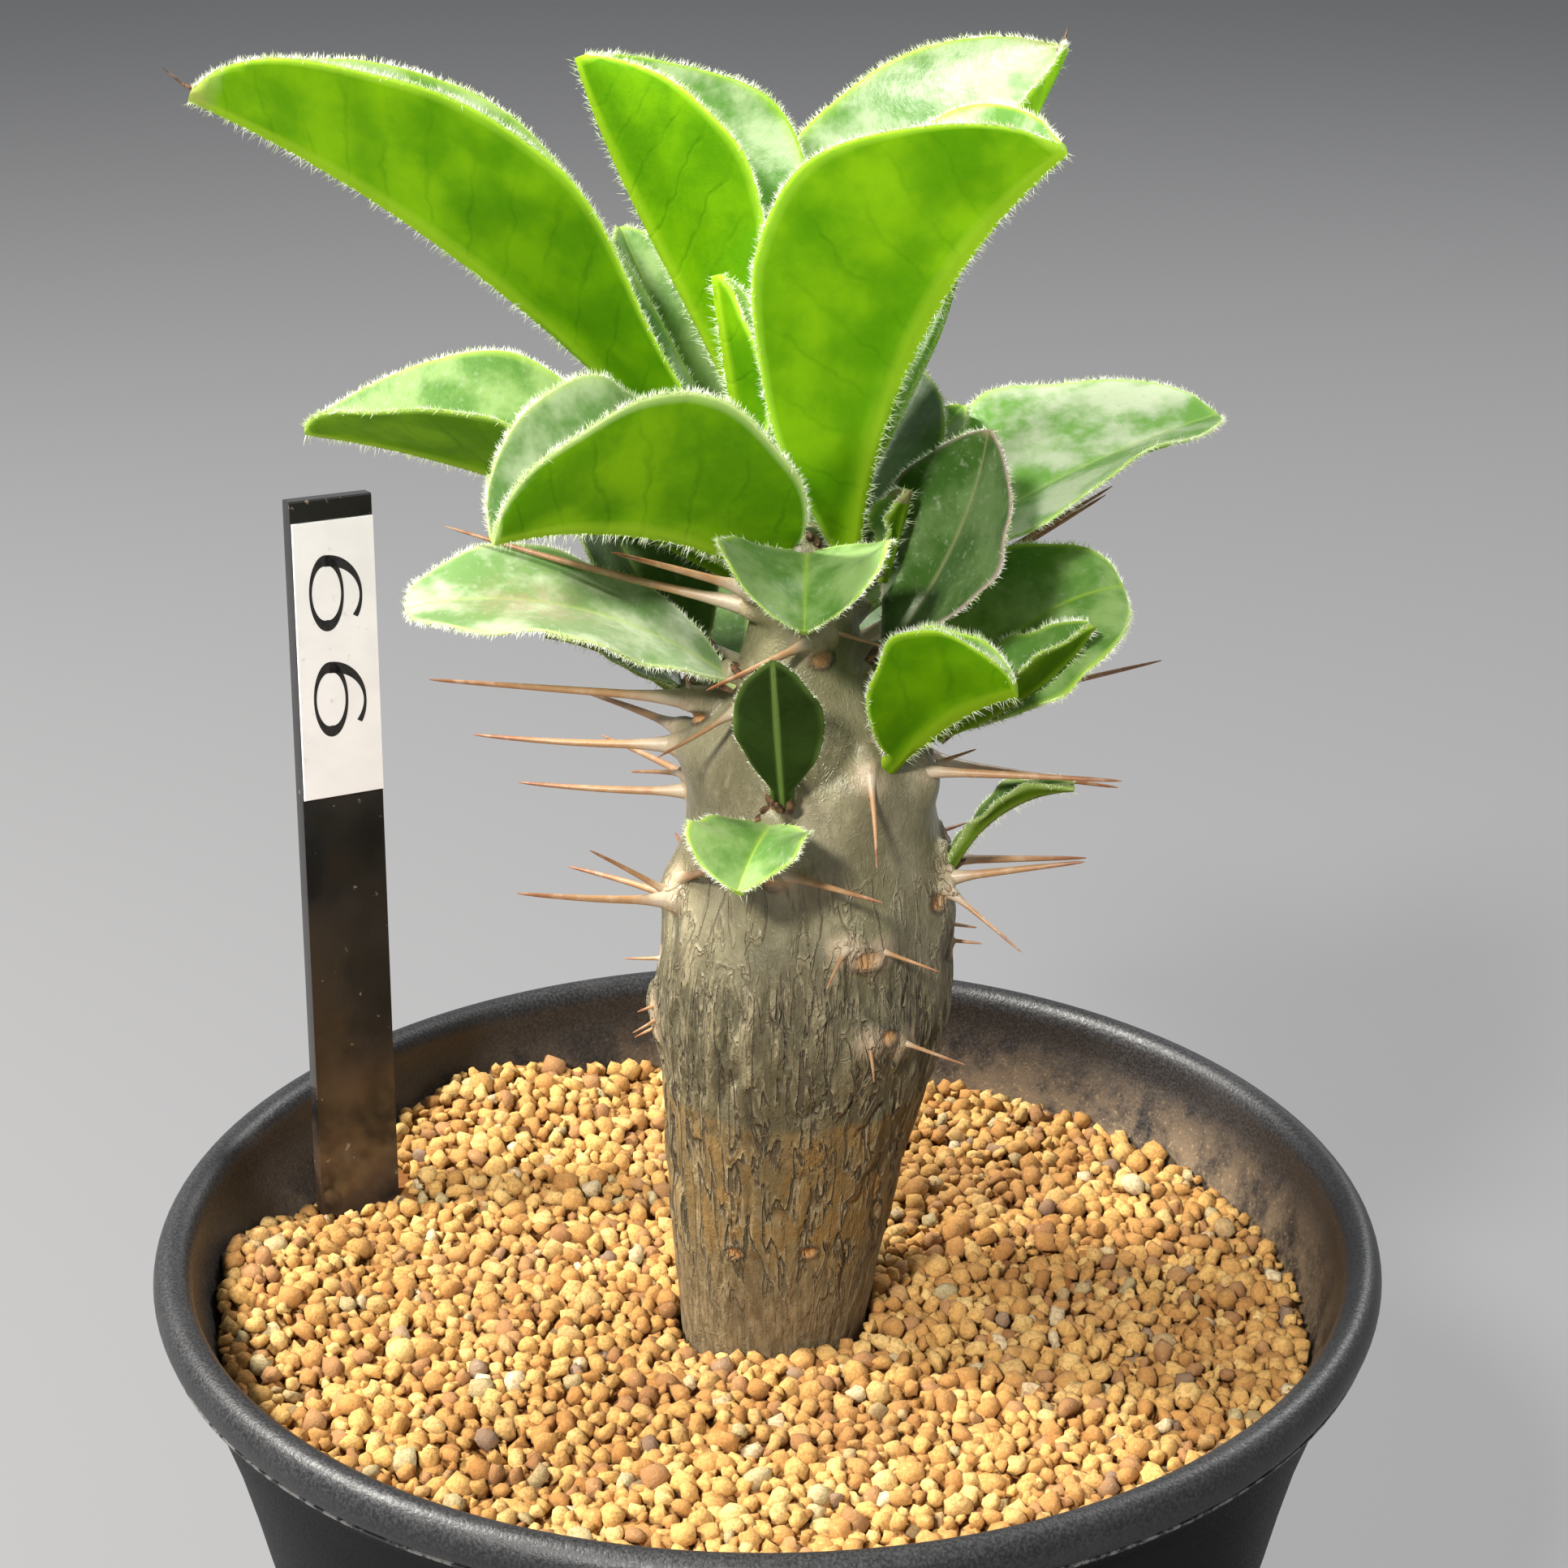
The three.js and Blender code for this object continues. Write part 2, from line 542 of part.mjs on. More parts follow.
function soilBlock() {
  const rowStep = GRAIN_SPACING * Math.sqrt(3) / 2;
  const rows = Math.ceil(SOIL_MARGIN / rowStep);
  const columns = Math.ceil(SOIL_MARGIN / GRAIN_SPACING);
  const upper = [];
  const lower = [];
  for (let i = -rows; i <= rows; i++) {
    const rowUpper = [];
    const rowLower = [];
    for (let j = -columns; j <= columns; j++) {
      const staggered = j + 0.5 * (Math.abs(i) % 2);
      const x = (staggered + 0.3 * (draw(i, j) - 0.5)) * GRAIN_SPACING;
      const y = (i + 0.3 * (draw(i, j, 1) - 0.5)) * rowStep;
      const grain = GRAIN_RELIEF * (2 * draw(i, j, 2) - 1);
      rowUpper.push([x, y, soilHeight(x, y) + grain]);
      rowLower.push([x, y, 0]);
    }
    upper.push(rowUpper);
    lower.push(rowLower);
  }
  return closedSheet(upper, lower);
}

function makeSoil() {
  const fill = POT_INSIDE.map(([radius, height]) => [radius - GAP, height]).reverse();
  fill[0][1] = FLOOR_TOP + GAP;
  const profile = [[0, FLOOR_TOP + GAP], ...fill, [62.9, POT_HEIGHT], [0, POT_HEIGHT]];
  let soil = solidOf(turned(profile, POT_SIDES)).intersect(solidOf(soilBlock()));
  const hole = STEM_STATIONS.slice(0, 4).map(([height, middle, radius]) => {
    const ring = [];
    for (let j = 0; j < STEM_COLUMNS / 2; j++) {
      const angle = 4 * Math.PI * j / STEM_COLUMNS;
      const wide = radius + 2 * GAP;
      const floor = height === STEM_FOOT ? height - GAP : height;
      ring.push([middle + wide * Math.cos(angle), wide * Math.sin(angle), floor]);
    }
    return ring;
  });
  soil = soil.subtract(solidOf(skinned(hole)));
  const slot = tagPlate(GAP, TAG_SHOULDER - GAP, TAG_TOP, TAG_POINT - GAP, TAG_WIDTH, TAG_THICKNESS, 0);
  soil = soil.subtract(solidOf(slot));
  return geometryOf(soil);
}

// The plant in its pot, every piece where it stands
const plastic = { color: 0x2a2b2e, roughness: 0.5, metalness: 0 };
const grit = { color: 0xc79a5a, roughness: 0.95, metalness: 0 };
const bark = { color: 0x9a927c, roughness: 0.7, metalness: 0 };
const leafGreen = { color: 0x5f9e33, roughness: 0.5, metalness: 0 };
const tagBlack = { color: 0x141416, roughness: 0.25, metalness: 0 };
const tapeWhite = { color: 0xe8e6e2, roughness: 0.6, metalness: 0 };

const object = new THREE.Group();

function addPiece(name, geometry, finish) {
  const mesh = new THREE.Mesh(geometry, new THREE.MeshStandardMaterial(finish));
  mesh.name = name;
  object.add(mesh);
}

addPiece('pot', makePot(), plastic);
addPiece('soil', makeSoil(), grit);
addPiece('stem', makeStem(), bark);
LEAVES.forEach((leaf, i) => {
  addPiece(`leaf_${String(i + 1).padStart(2, '0')}`, leafBlade(leaf), leafGreen);
});
addPiece('tag', makeTag(), tagBlack);
addPiece('tag_tape', makeTape(), tapeWhite);

export default object;
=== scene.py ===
# Potted kudu lily: a swollen stem with spines and downy leaves, in a round plastic pot that is
# filled to near the rim with loose grit, with a number tag pushed in at the left.
# Lengths are in millimetres unless a line says otherwise; the scene itself is in metres.
import math

import bpy
import numpy as np
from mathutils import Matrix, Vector, noise


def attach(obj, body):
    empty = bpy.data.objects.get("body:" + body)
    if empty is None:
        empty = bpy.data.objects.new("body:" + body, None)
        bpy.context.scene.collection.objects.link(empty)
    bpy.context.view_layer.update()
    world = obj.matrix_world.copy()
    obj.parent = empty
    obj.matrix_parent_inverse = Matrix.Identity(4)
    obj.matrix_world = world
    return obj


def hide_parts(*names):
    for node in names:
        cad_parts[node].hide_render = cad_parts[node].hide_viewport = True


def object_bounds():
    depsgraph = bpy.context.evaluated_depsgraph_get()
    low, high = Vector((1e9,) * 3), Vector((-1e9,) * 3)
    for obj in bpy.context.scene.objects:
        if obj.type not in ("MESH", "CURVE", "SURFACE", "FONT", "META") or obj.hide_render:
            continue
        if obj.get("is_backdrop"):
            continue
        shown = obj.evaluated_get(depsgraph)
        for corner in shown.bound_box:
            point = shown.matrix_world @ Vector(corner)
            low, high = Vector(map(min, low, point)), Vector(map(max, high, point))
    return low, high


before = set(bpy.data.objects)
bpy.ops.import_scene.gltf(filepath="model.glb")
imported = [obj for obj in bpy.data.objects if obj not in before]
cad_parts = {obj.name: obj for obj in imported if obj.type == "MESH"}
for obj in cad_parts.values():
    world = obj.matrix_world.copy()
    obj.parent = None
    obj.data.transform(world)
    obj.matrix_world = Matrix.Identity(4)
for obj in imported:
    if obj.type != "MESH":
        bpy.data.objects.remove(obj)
size_at_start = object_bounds()

# Pot. One moulded piece of dark grey plastic with a fine satin grain. The wall draws in under a
# rolled rim with a broken pale line below it, a painted highlight along the seam, and the foot is
# a ring round six drain holes. The outer wall below the rim is painted darker than the rim as
# painted shade. Grit dust clings to the inner wall, laid on stronger towards its right and back as
# painted light on the side that the lamps light.
RIM_MIDDLE = (65.4, 115.4)
RIM_ROLL = (2.1, 2.6)
POT_OUTSIDE = [
    (47.2, 0), (47.7, 0.5), (48.6, 8), (52.6, 50), (55.4, 75), (56.4, 81), (57.6, 86), (58.8, 91.5),
    (60.4, 98), (62.6, 105), (64.6, 110.4), (65.6, 112.4), (66.3, 112.9), (66.9, 113.1), (66.95, 113.4),
]
POT_INSIDE = [
    (63.2, 114), (62.9, 112), (60.4, 104.5), (58.2, 98), (55.4, 86), (53.2, 75), (50.4, 50), (46.9, 8),
    (46.2, 5.4), (45.4, 4.9),
]
POT_FOOT = [(0, 2.5), (20, 2.5), (32, 2.5), (43.1, 2.5), (43.5, 2.1), (43.5, 0.4), (43.9, 0)]
POT_FLOOR = [(38, 4.9), (20, 4.9), (0, 4.9)]
POT_SIDES = 144
DRAIN_HOLES = 6
DRAIN_RADIUS = 3.5
DRAIN_CIRCLE = 26
DRAIN_SIDES = 32
DRAIN_DEPTH = 8
DUST_TOP = 114.2
DUST_FOOT = 96
SEAM_LOW = 112.9
SEAM_HIGH = 113.5


def add_mesh(name, points, faces, finish=None, crease=40):
    """An object from points in millimetres, smooth except at edges sharper than crease degrees."""
    mesh = bpy.data.meshes.new(name)
    mesh.from_pydata((np.asarray(points, dtype=float) / 1000).tolist(), [], faces)
    mesh.validate()
    mesh.shade_smooth()
    mesh.set_sharp_from_angle(angle=math.radians(crease))
    if finish is not None:
        mesh.materials.append(finish)
    thing = bpy.data.objects.new(name, mesh)
    bpy.context.scene.collection.objects.link(thing)
    return thing


def turned(profile, sides):
    """A closed shape turned about Z, from a point on the axis to a point on the axis."""
    points = [(0, 0, profile[0][1])]
    for radius, height in profile[1:-1]:
        for turn in np.arange(sides) * 2 * math.pi / sides:
            points.append((radius * math.cos(turn), radius * math.sin(turn), height))
    points.append((0, 0, profile[-1][1]))
    faces = []
    last = len(points) - 1
    rings = len(profile) - 2
    for j in range(sides):
        k = (j + 1) % sides
        faces.append((0, 1 + k, 1 + j))
        for i in range(rings - 1):
            a = 1 + i * sides
            faces.append((a + j, a + k, a + sides + k, a + sides + j))
        a = 1 + (rings - 1) * sides
        faces.append((a + j, a + k, last))
    return points, faces


def added(points, faces, more_points, more_faces):
    """Adds a shape's points and faces to the lists of one mesh."""
    faces += [tuple(n + len(points) for n in face) for face in more_faces]
    points += [tuple(point) for point in more_points]


def set_values(mesh, **layers):
    """Stores one number a point on a mesh for each name, for a material or a tree to read."""
    for name, values in layers.items():
        layer = mesh.attributes.new(name, "FLOAT", "POINT")
        layer.data.foreach_set("value", np.asarray(values, dtype=np.float32))


def places_of(mesh):
    """The points of a mesh as rows of x, y, z in millimetres."""
    flat = np.empty(3 * len(mesh.vertices), dtype=np.float32)
    mesh.vertices.foreach_get("co", flat)
    return flat.reshape(-1, 3).astype(float) * 1000


def settled(thing):
    """Swaps an object's mesh for its finished one, with all modifiers worked in."""
    seen = thing.evaluated_get(bpy.context.evaluated_depsgraph_get())
    mesh = bpy.data.meshes.new_from_object(seen)
    mesh.name = thing.name
    thing.modifiers.clear()
    thing.data = mesh
    return mesh


class Network:
    """A node tree under construction, for a material or for geometry."""

    def put(self, socket, value):
        """Links an output to a socket, or sets the socket to a plain value."""
        if isinstance(value, bpy.types.NodeSocket):
            self.tree.links.new(value, socket)
        elif isinstance(value, (tuple, list)) and len(value) == 3 and socket.type == "RGBA":
            socket.default_value = (*value, 1)
        else:
            socket.default_value = value

    def node(self, kind, inputs=(), **settings):
        made = self.tree.nodes.new(kind)
        for key, value in settings.items():
            setattr(made, key, value)
        for key, value in dict(inputs).items():
            self.put(made.inputs[key], value)
        return made

    def out(self, kind, inputs=(), **settings):
        """The first output of a new node."""
        return self.node(kind, inputs, **settings).outputs[0]

    def sum(self, how, first, second=0.5, third=0.5):
        return self.out("ShaderNodeMath", {0: first, 1: second, 2: third}, operation=how)

    def times(self, first, second):
        return self.sum("MULTIPLY", first, second)


class Finish(Network):
    """A node material under construction. Every call adds nodes and returns their output."""

    def __init__(self, name):
        self.material = bpy.data.materials.new(name)
        self.material.use_nodes = True
        self.tree = self.material.node_tree
        self.shader = self.tree.nodes["Principled BSDF"]
        self.output = self.tree.nodes["Material Output"]

    def place(self, stretch=(1, 1, 1)):
        where = self.node("ShaderNodeTexCoord").outputs["Object"]
        return self.out("ShaderNodeMapping", {"Vector": where, "Scale": stretch})

    def stored(self, name):
        return self.node("ShaderNodeAttribute", attribute_name=name).outputs["Fac"]

    def cloud(self, size, detail=3, rough=0.55, stretch=(1, 1, 1), warp=0.0):
        """Soft noise whose patches are about this many millimetres across."""
        inputs = {"Vector": self.place(stretch), "Scale": 1000 / size, "Detail": detail,
                  "Roughness": rough, "Distortion": warp}
        return self.node("ShaderNodeTexNoise", inputs).outputs["Fac"]

    def threads(self, size, wide, stretch=(1, 1, 1), warp=0.5):
        """Thin winding lines: how near a place is to one, as 0 far off and 1 on it."""
        away = self.sum("SUBTRACT", self.cloud(size, 2, 0.5, stretch, warp), 0.5)
        return self.ramp(self.sum("ABSOLUTE", away), wide, wide / 5)

    def ramp(self, value, low, high, start=0.0, end=1.0):
        inputs = {"Value": value, "From Min": low, "From Max": high, "To Min": start, "To Max": end}
        return self.out("ShaderNodeMapRange", inputs, interpolation_type="SMOOTHSTEP")

    def blend(self, share, first, second, how="MIX"):
        inputs = {0: share, 6: first, 7: second}
        return self.node("ShaderNodeMix", inputs, data_type="RGBA", blend_type=how).outputs[2]

    def coats(self, tone, *coats):
        """Lays colours over a tone one after the other, each where its share says."""
        for share, colour in coats:
            tone = self.blend(share, tone, colour)
        return tone

    def bump(self, height, depth, below=None):
        """Raises the surface by height times this many millimetres."""
        inputs = {"Height": height, "Distance": depth / 1000, "Strength": 1.0}
        if below is not None:
            inputs["Normal"] = below
        return self.out("ShaderNodeBump", inputs)

    def set(self, **inputs):
        for key, value in inputs.items():
            self.put(self.shader.inputs[key.replace("_", " ")], value)


plastic = Finish("dark_satin_plastic")
grain = plastic.cloud(0.35, 2)
wear = plastic.cloud(9, 4)
grey = plastic.blend(plastic.ramp(grain, 0.35, 0.7), (0.009, 0.009, 0.010), (0.026, 0.026, 0.028))
grey = plastic.blend(plastic.ramp(wear, 0.45, 0.75, 0, 0.3), grey, (0.036, 0.035, 0.036))
# Real grit dust on the inner wall, laid on stronger on its lit side as painted light.
film_and_painted_light = plastic.times(plastic.stored("dust"), plastic.ramp(plastic.cloud(5, 5, 0.65), 0.32, 0.62))
specks = plastic.times(plastic.stored("dust"), plastic.ramp(plastic.cloud(0.6, 2), 0.60, 0.68))
dust = plastic.sum("ADD", plastic.times(film_and_painted_light, 0.55), plastic.times(specks, 0.40))
# The outer wall below the rim is painted darker than the rim's same plastic: painted shade.
grey = plastic.blend(plastic.times(plastic.stored("wall"), 0.6), grey, (0.007, 0.007, 0.0075))
grey = plastic.blend(dust, grey, (0.36, 0.245, 0.135))
# The pale broken line under the rim is a painted highlight along the seam.
highlight_dashes = plastic.ramp(plastic.cloud(1.3, 3), 0.44, 0.56)
grey = plastic.blend(plastic.times(plastic.stored("seam"), highlight_dashes), grey, (0.15, 0.145, 0.14))
gloss = plastic.sum("ADD", plastic.ramp(grain, 0.3, 0.7, 0.38, 0.54), plastic.times(dust, 0.6))
plastic.set(Base_Color=grey, Roughness=gloss, Normal=plastic.bump(grain, 0.07))
plastic.set(Specular_IOR_Level=plastic.ramp(plastic.stored("wall"), 0, 1, 0.46, 0.03))

roll = []
for angle in range(-50, 181, 10):
    across = RIM_MIDDLE[0] + RIM_ROLL[0] * math.cos(math.radians(angle))
    upright = RIM_MIDDLE[1] + RIM_ROLL[1] * math.sin(math.radians(angle))
    roll.append((across, upright))
points, faces = turned(POT_FOOT + POT_OUTSIDE + roll + POT_INSIDE + POT_FLOOR, POT_SIDES)
pot = add_mesh("pot_body", points, faces)
drills = []
drill_faces = []
for i in range(DRAIN_HOLES):
    middle = math.radians(360 / DRAIN_HOLES * (i + 0.5))
    drill_line = [(0, 0), (DRAIN_RADIUS, 0), (DRAIN_RADIUS, DRAIN_DEPTH), (0, DRAIN_DEPTH)]
    hole, sides = turned(drill_line, DRAIN_SIDES)
    shift = (DRAIN_CIRCLE * math.cos(middle), DRAIN_CIRCLE * math.sin(middle), 0)
    added(drills, drill_faces, np.add(hole, shift), sides)
drill = add_mesh("drill", drills, drill_faces)
cut = pot.modifiers.new("drain", "BOOLEAN")
cut.operation = "DIFFERENCE"
cut.solver = "EXACT"
cut.object = drill
mesh = settled(pot)
bpy.data.objects.remove(drill)
mesh.materials.clear()
mesh.materials.append(plastic.material)
spots = places_of(mesh)
reach = np.hypot(spots[:, 0], spots[:, 1])
inner = np.interp(spots[:, 2], [98, 106, 112, 117], [58.6, 61.2, 63.1, 63.6])
low_enough = np.clip((DUST_TOP - spots[:, 2]) / 7, 0, 1) ** 1.5
turn = np.arctan2(spots[:, 1], spots[:, 0])
# Stronger towards the right and back of the inner wall, the side the lamps light: painted light.
lit_side_share = 0.62 + 0.38 * np.cos(turn - math.radians(25))
outer = np.interp(spots[:, 2], [z for _, z in POT_OUTSIDE], [r for r, _ in POT_OUTSIDE])
set_values(mesh, dust=(reach < inner) * (spots[:, 2] > DUST_FOOT) * low_enough * lit_side_share,
           seam=(reach > 66.5) * (spots[:, 2] > SEAM_LOW) * (spots[:, 2] < SEAM_HIGH),
           wall=(reach > outer - 1.2) * (spots[:, 2] < 112.8))
mesh.shade_smooth()
mesh.set_sharp_from_angle(angle=math.radians(35))
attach(pot, "root")
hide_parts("pot")

# Grit bed. Hard grains of fired clay, golden tan with some cream, grey and brown ones, poured in
# loose and heaped a little against the wall at the back left. The bed itself is the imported mass
# below, painted nearly black in its gaps as painted shade; two layers of single grains lie on it,
# the lower one painted darker as shade between the upper grains.
SOIL_LEVEL = 106
SOIL_MOUNDS = [
    (-36, 47, 5, 17), (-60, 3, 4.5, 14), (-52, 24, -1.5, 8),
    (0, -32, 1, 20), (-10, -6, -1.8, 6), (14, 4, 0.8, 9),
]
BED_BELOW = 1.5
BED_SIDES = 120
BED_FOOT = 5.3
BED_LUMPS = 0.7
LUMP_PATCH = 2.2
HOLE_MIDDLE = 0.6
HOLE_RADIUS = 11.1
STEM_HOLE = [(100, 0.3, 10.4), (92, 0.2, 9.5), (83.7, 0, 8.6)]
INNER_WALL = np.array(POT_INSIDE[7:0:-1])


def soil_height(x, y):
    height = SOIL_LEVEL + 0 * x
    for middle_x, middle_y, rise, spread in SOIL_MOUNDS:
        height = height + rise * np.exp(-((x - middle_x) ** 2 + (y - middle_y) ** 2) / spread ** 2)
    return height


def wall_inside(height):
    """Radius of the pot's inner wall at a height."""
    return np.interp(height, INNER_WALL[:, 1], INNER_WALL[:, 0])


grit = Finish("fired_clay_grit")
tint = grit.stored("tint")
patch = grit.cloud(16, 3)
pores = grit.cloud(0.42, 4, 0.65)
clay = grit.coats(
    (0.50, 0.255, 0.075),
    (grit.ramp(tint, 0.05, 0.6), (0.66, 0.40, 0.125)), (grit.ramp(tint, 0.62, 0.84), (0.72, 0.50, 0.19)),
    (grit.ramp(tint, 0.86, 0.87), (0.38, 0.20, 0.085)), (grit.ramp(tint, 0.94, 0.945), (0.48, 0.41, 0.22)),
    (grit.ramp(tint, 0.97, 0.972), (0.70, 0.60, 0.38)), (grit.ramp(tint, 0.985, 0.987), (0.25, 0.18, 0.13)),
    (grit.ramp(patch, 0.52, 0.70, 0, 0.45), (0.46, 0.25, 0.095)),
    (grit.ramp(pores, 0.36, 0.56, 0.55, 0), (0.33, 0.17, 0.06)),
    (grit.ramp(pores, 0.58, 0.74, 0, 0.4), (0.86, 0.66, 0.38)))
# Darker by the stored value: painted shade on the bed and the lower grains, with damp patches.
clay = grit.blend(grit.stored("shade"), clay, (0.30, 0.17, 0.07), "MULTIPLY")
rough_skin = grit.bump(grit.cloud(0.30, 4, 0.7), 0.16)
grit.set(Base_Color=clay, Roughness=0.92, Normal=rough_skin, Specular_IOR_Level=0.25)

points = []
rings = []
turns = np.arange(BED_SIDES) * 2 * math.pi / BED_SIDES


def band(first, second, sides):
    """The faces between two rings, given by the number of each ring's first point."""
    turns_on = [(j, (j + 1) % sides) for j in range(sides)]
    return [(first + j, first + k, second + k, second + j) for j, k in turns_on]


def bed_ring(radius, height, middle_x=0):
    """Adds one ring of the bed, at one height or at a height for each point."""
    rings.append(len(points))
    x = middle_x + radius * np.cos(turns)
    y = radius * np.sin(turns)
    points.extend(zip(x, y, height + 0 * x))


for height in (BED_FOOT, 50, 75, 98):
    bed_ring(wall_inside(max(height, 8)) - (2.5 if height < 8 else 0.35), height)
brim = 60.0 + 1.2 * np.exp(-((turns - math.radians(127)) / 0.35) ** 2)
for share in np.linspace(1, 0, 28):
    radius = HOLE_RADIUS + share * (brim - HOLE_RADIUS)
    middle_x = HOLE_MIDDLE * (1 - share)
    x = middle_x + radius * np.cos(turns)
    y = radius * np.sin(turns)
    top = soil_height(x, y) - BED_BELOW
    lumps = [noise.noise(Vector((a / LUMP_PATCH, b / LUMP_PATCH, 0))) for a, b in zip(x, y)]
    bed_ring(radius, top + BED_LUMPS * np.array(lumps), middle_x)
for height, middle_x, radius in STEM_HOLE:
    bed_ring(radius, height, middle_x)
faces = []
for first, second in zip(rings, rings[1:]):
    faces += band(first, second, BED_SIDES)
points += [(0, 0, BED_FOOT), (0, 0, STEM_HOLE[-1][0])]
for j in range(BED_SIDES):
    k = (j + 1) % BED_SIDES
    faces.append((len(points) - 2, rings[0] + k, rings[0] + j))
    faces.append((rings[-1] + j, rings[-1] + k, len(points) - 1))
bed = add_mesh("grit_bed", points, faces, grit.material, 60)
# The bed is painted darker as shade in the gaps between the grains.
set_values(bed.data, tint=np.full(len(points), 0.1), shade=np.full(len(points), 0.75))
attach(bed, "root")
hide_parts("soil")


class Growth(Network):
    """A tree that turns loose points into one mesh, with named inputs in metres."""

    def __init__(self, name, numbers):
        self.tree = bpy.data.node_groups.new(name, "GeometryNodeTree")
        face = self.tree.interface
        face.new_socket("Geometry", in_out="INPUT", socket_type="NodeSocketGeometry")
        for key, number in numbers.items():
            face.new_socket(key, in_out="INPUT", socket_type="NodeSocketFloat").default_value = number
        face.new_socket("Geometry", in_out="OUTPUT", socket_type="NodeSocketGeometry")
        self.given = self.node("NodeGroupInput").outputs

    def carried(self, name):
        return self.out("GeometryNodeInputNamedAttribute", {"Name": name}, data_type="FLOAT_VECTOR")

    def planted(self, shape):
        """Stands a shape on every point, turned and sized by the point, as one real mesh."""
        facing = self.out("FunctionNodeEulerToRotation", {0: self.carried("turn")})
        inputs = {"Points": self.given["Geometry"], "Instance": shape, "Rotation": facing,
                  "Scale": self.carried("size")}
        scatter = self.out("GeometryNodeInstanceOnPoints", inputs)
        return self.out("GeometryNodeRealizeInstances", {"Geometry": scatter})

    def coated(self, shape, finish):
        """Gives the outcome its material and ends the tree."""
        dressed = self.out("GeometryNodeSetMaterial", {"Geometry": shape, "Material": finish})
        self.node("NodeGroupOutput", {0: dressed})
        return self.tree


def grain_tree(name, finish):
    """Places one rounded block on every point and roughens it."""
    growth = Growth(name, {"Roundness": 0.72, "Lump size": 0.0008, "Lump height": 0.0017})
    cuts = {"Vertices X": 3, "Vertices Y": 3, "Vertices Z": 3}
    block = growth.out("GeometryNodeMeshCube", {"Size": (2, 2, 2), **cuts})
    where = growth.out("GeometryNodeInputPosition")
    ball = growth.out("ShaderNodeVectorMath", {0: where}, operation="NORMALIZE")
    inputs = {0: growth.given["Roundness"], 4: where, 5: ball}
    rounding = growth.node("ShaderNodeMix", inputs, data_type="VECTOR").outputs[1]
    real = growth.planted(growth.out("GeometryNodeSetPosition", {"Geometry": block, "Position": rounding}))
    inputs = {"Vector": growth.out("GeometryNodeInputPosition"),
              "Scale": growth.sum("DIVIDE", 1.0, growth.given["Lump size"]), "Detail": 1.5}
    lumps = growth.node("ShaderNodeTexNoise", inputs).outputs["Fac"]
    height = growth.times(growth.sum("SUBTRACT", lumps, 0.5), growth.given["Lump height"])
    inputs = {0: growth.out("GeometryNodeInputNormal"), "Scale": height}
    push = growth.out("ShaderNodeVectorMath", inputs, operation="SCALE")
    rough = growth.out("GeometryNodeSetPosition", {"Geometry": real, "Offset": push})
    return growth.coated(growth.out("GeometryNodeSetShadeSmooth", {"Geometry": rough}), finish)


def grown(name, places, vectors, values, tree, stands_for):
    """Runs a tree on loose points and keeps the outcome as one plain mesh."""
    thing = add_mesh(name, places, [])
    for key, rows in vectors.items():
        layer = thing.data.attributes.new(key, "FLOAT_VECTOR", "POINT")
        layer.data.foreach_set("vector", np.asarray(rows, dtype=np.float32).ravel())
    set_values(thing.data, **values)
    growth = thing.modifiers.new("growth", "NODES")
    growth.node_group = tree
    settled(thing)
    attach(thing, "root")
    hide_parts(stands_for)


STEM_CLEAR = 10.9
TAG_FOOT = (-53, 25.4)
TAG_TURN = math.radians(30)
TAG_WIDTH = 9.9
TAG_SLOT = (-4.4, 2.6)
GRIT_REACH = 61.5
CROWDING = 0.84
CELL = 2.5
GRAIN_STRETCH = (0.62, 1.28)
GRAIN_RISE = (-0.7, 0.75)
DAMP_PATCH = 15


def free_of_stem_and_tag(x, y, radius):
    """Whether a grain of this radius clears the stem and the tag."""
    if math.hypot(x - 0.7, y) < STEM_CLEAR + radius * 0.75:
        return False
    x -= TAG_FOOT[0]
    y -= TAG_FOOT[1]
    along_tag = x * math.cos(TAG_TURN) + y * math.sin(TAG_TURN)
    across_tag = -x * math.sin(TAG_TURN) + y * math.cos(TAG_TURN)
    beside = -radius < along_tag < TAG_WIDTH + radius
    return not (beside and TAG_SLOT[0] - radius < across_tag < TAG_SLOT[1] + radius)


def scattered(draws, radii, tries):
    """Grains dropped one by one where they clear the earlier ones, the largest first."""
    kept = []
    table = {}
    for radius, share in radii:
        for _ in range(int(tries * share)):
            reach = GRIT_REACH * math.sqrt(draws.random())
            turn = 2 * math.pi * draws.random()
            x = reach * math.cos(turn)
            y = reach * math.sin(turn)
            size = radius * (0.88 + 0.24 * draws.random())
            if reach > wall_inside(float(soil_height(x, y))) - 0.5 - size:
                continue
            if not free_of_stem_and_tag(x, y, size):
                continue
            i = int(x // CELL)
            j = int(y // CELL)
            clear = True
            for a in (i - 1, i, i + 1):
                for b in (j - 1, j, j + 1):
                    for other_x, other_y, other in table.get((a, b), ()):
                        if math.hypot(x - other_x, y - other_y) < CROWDING * (size + other):
                            clear = False
            if clear:
                kept.append((x, y, size))
                table.setdefault((i, j), []).append((x, y, size))
    return np.array(kept)


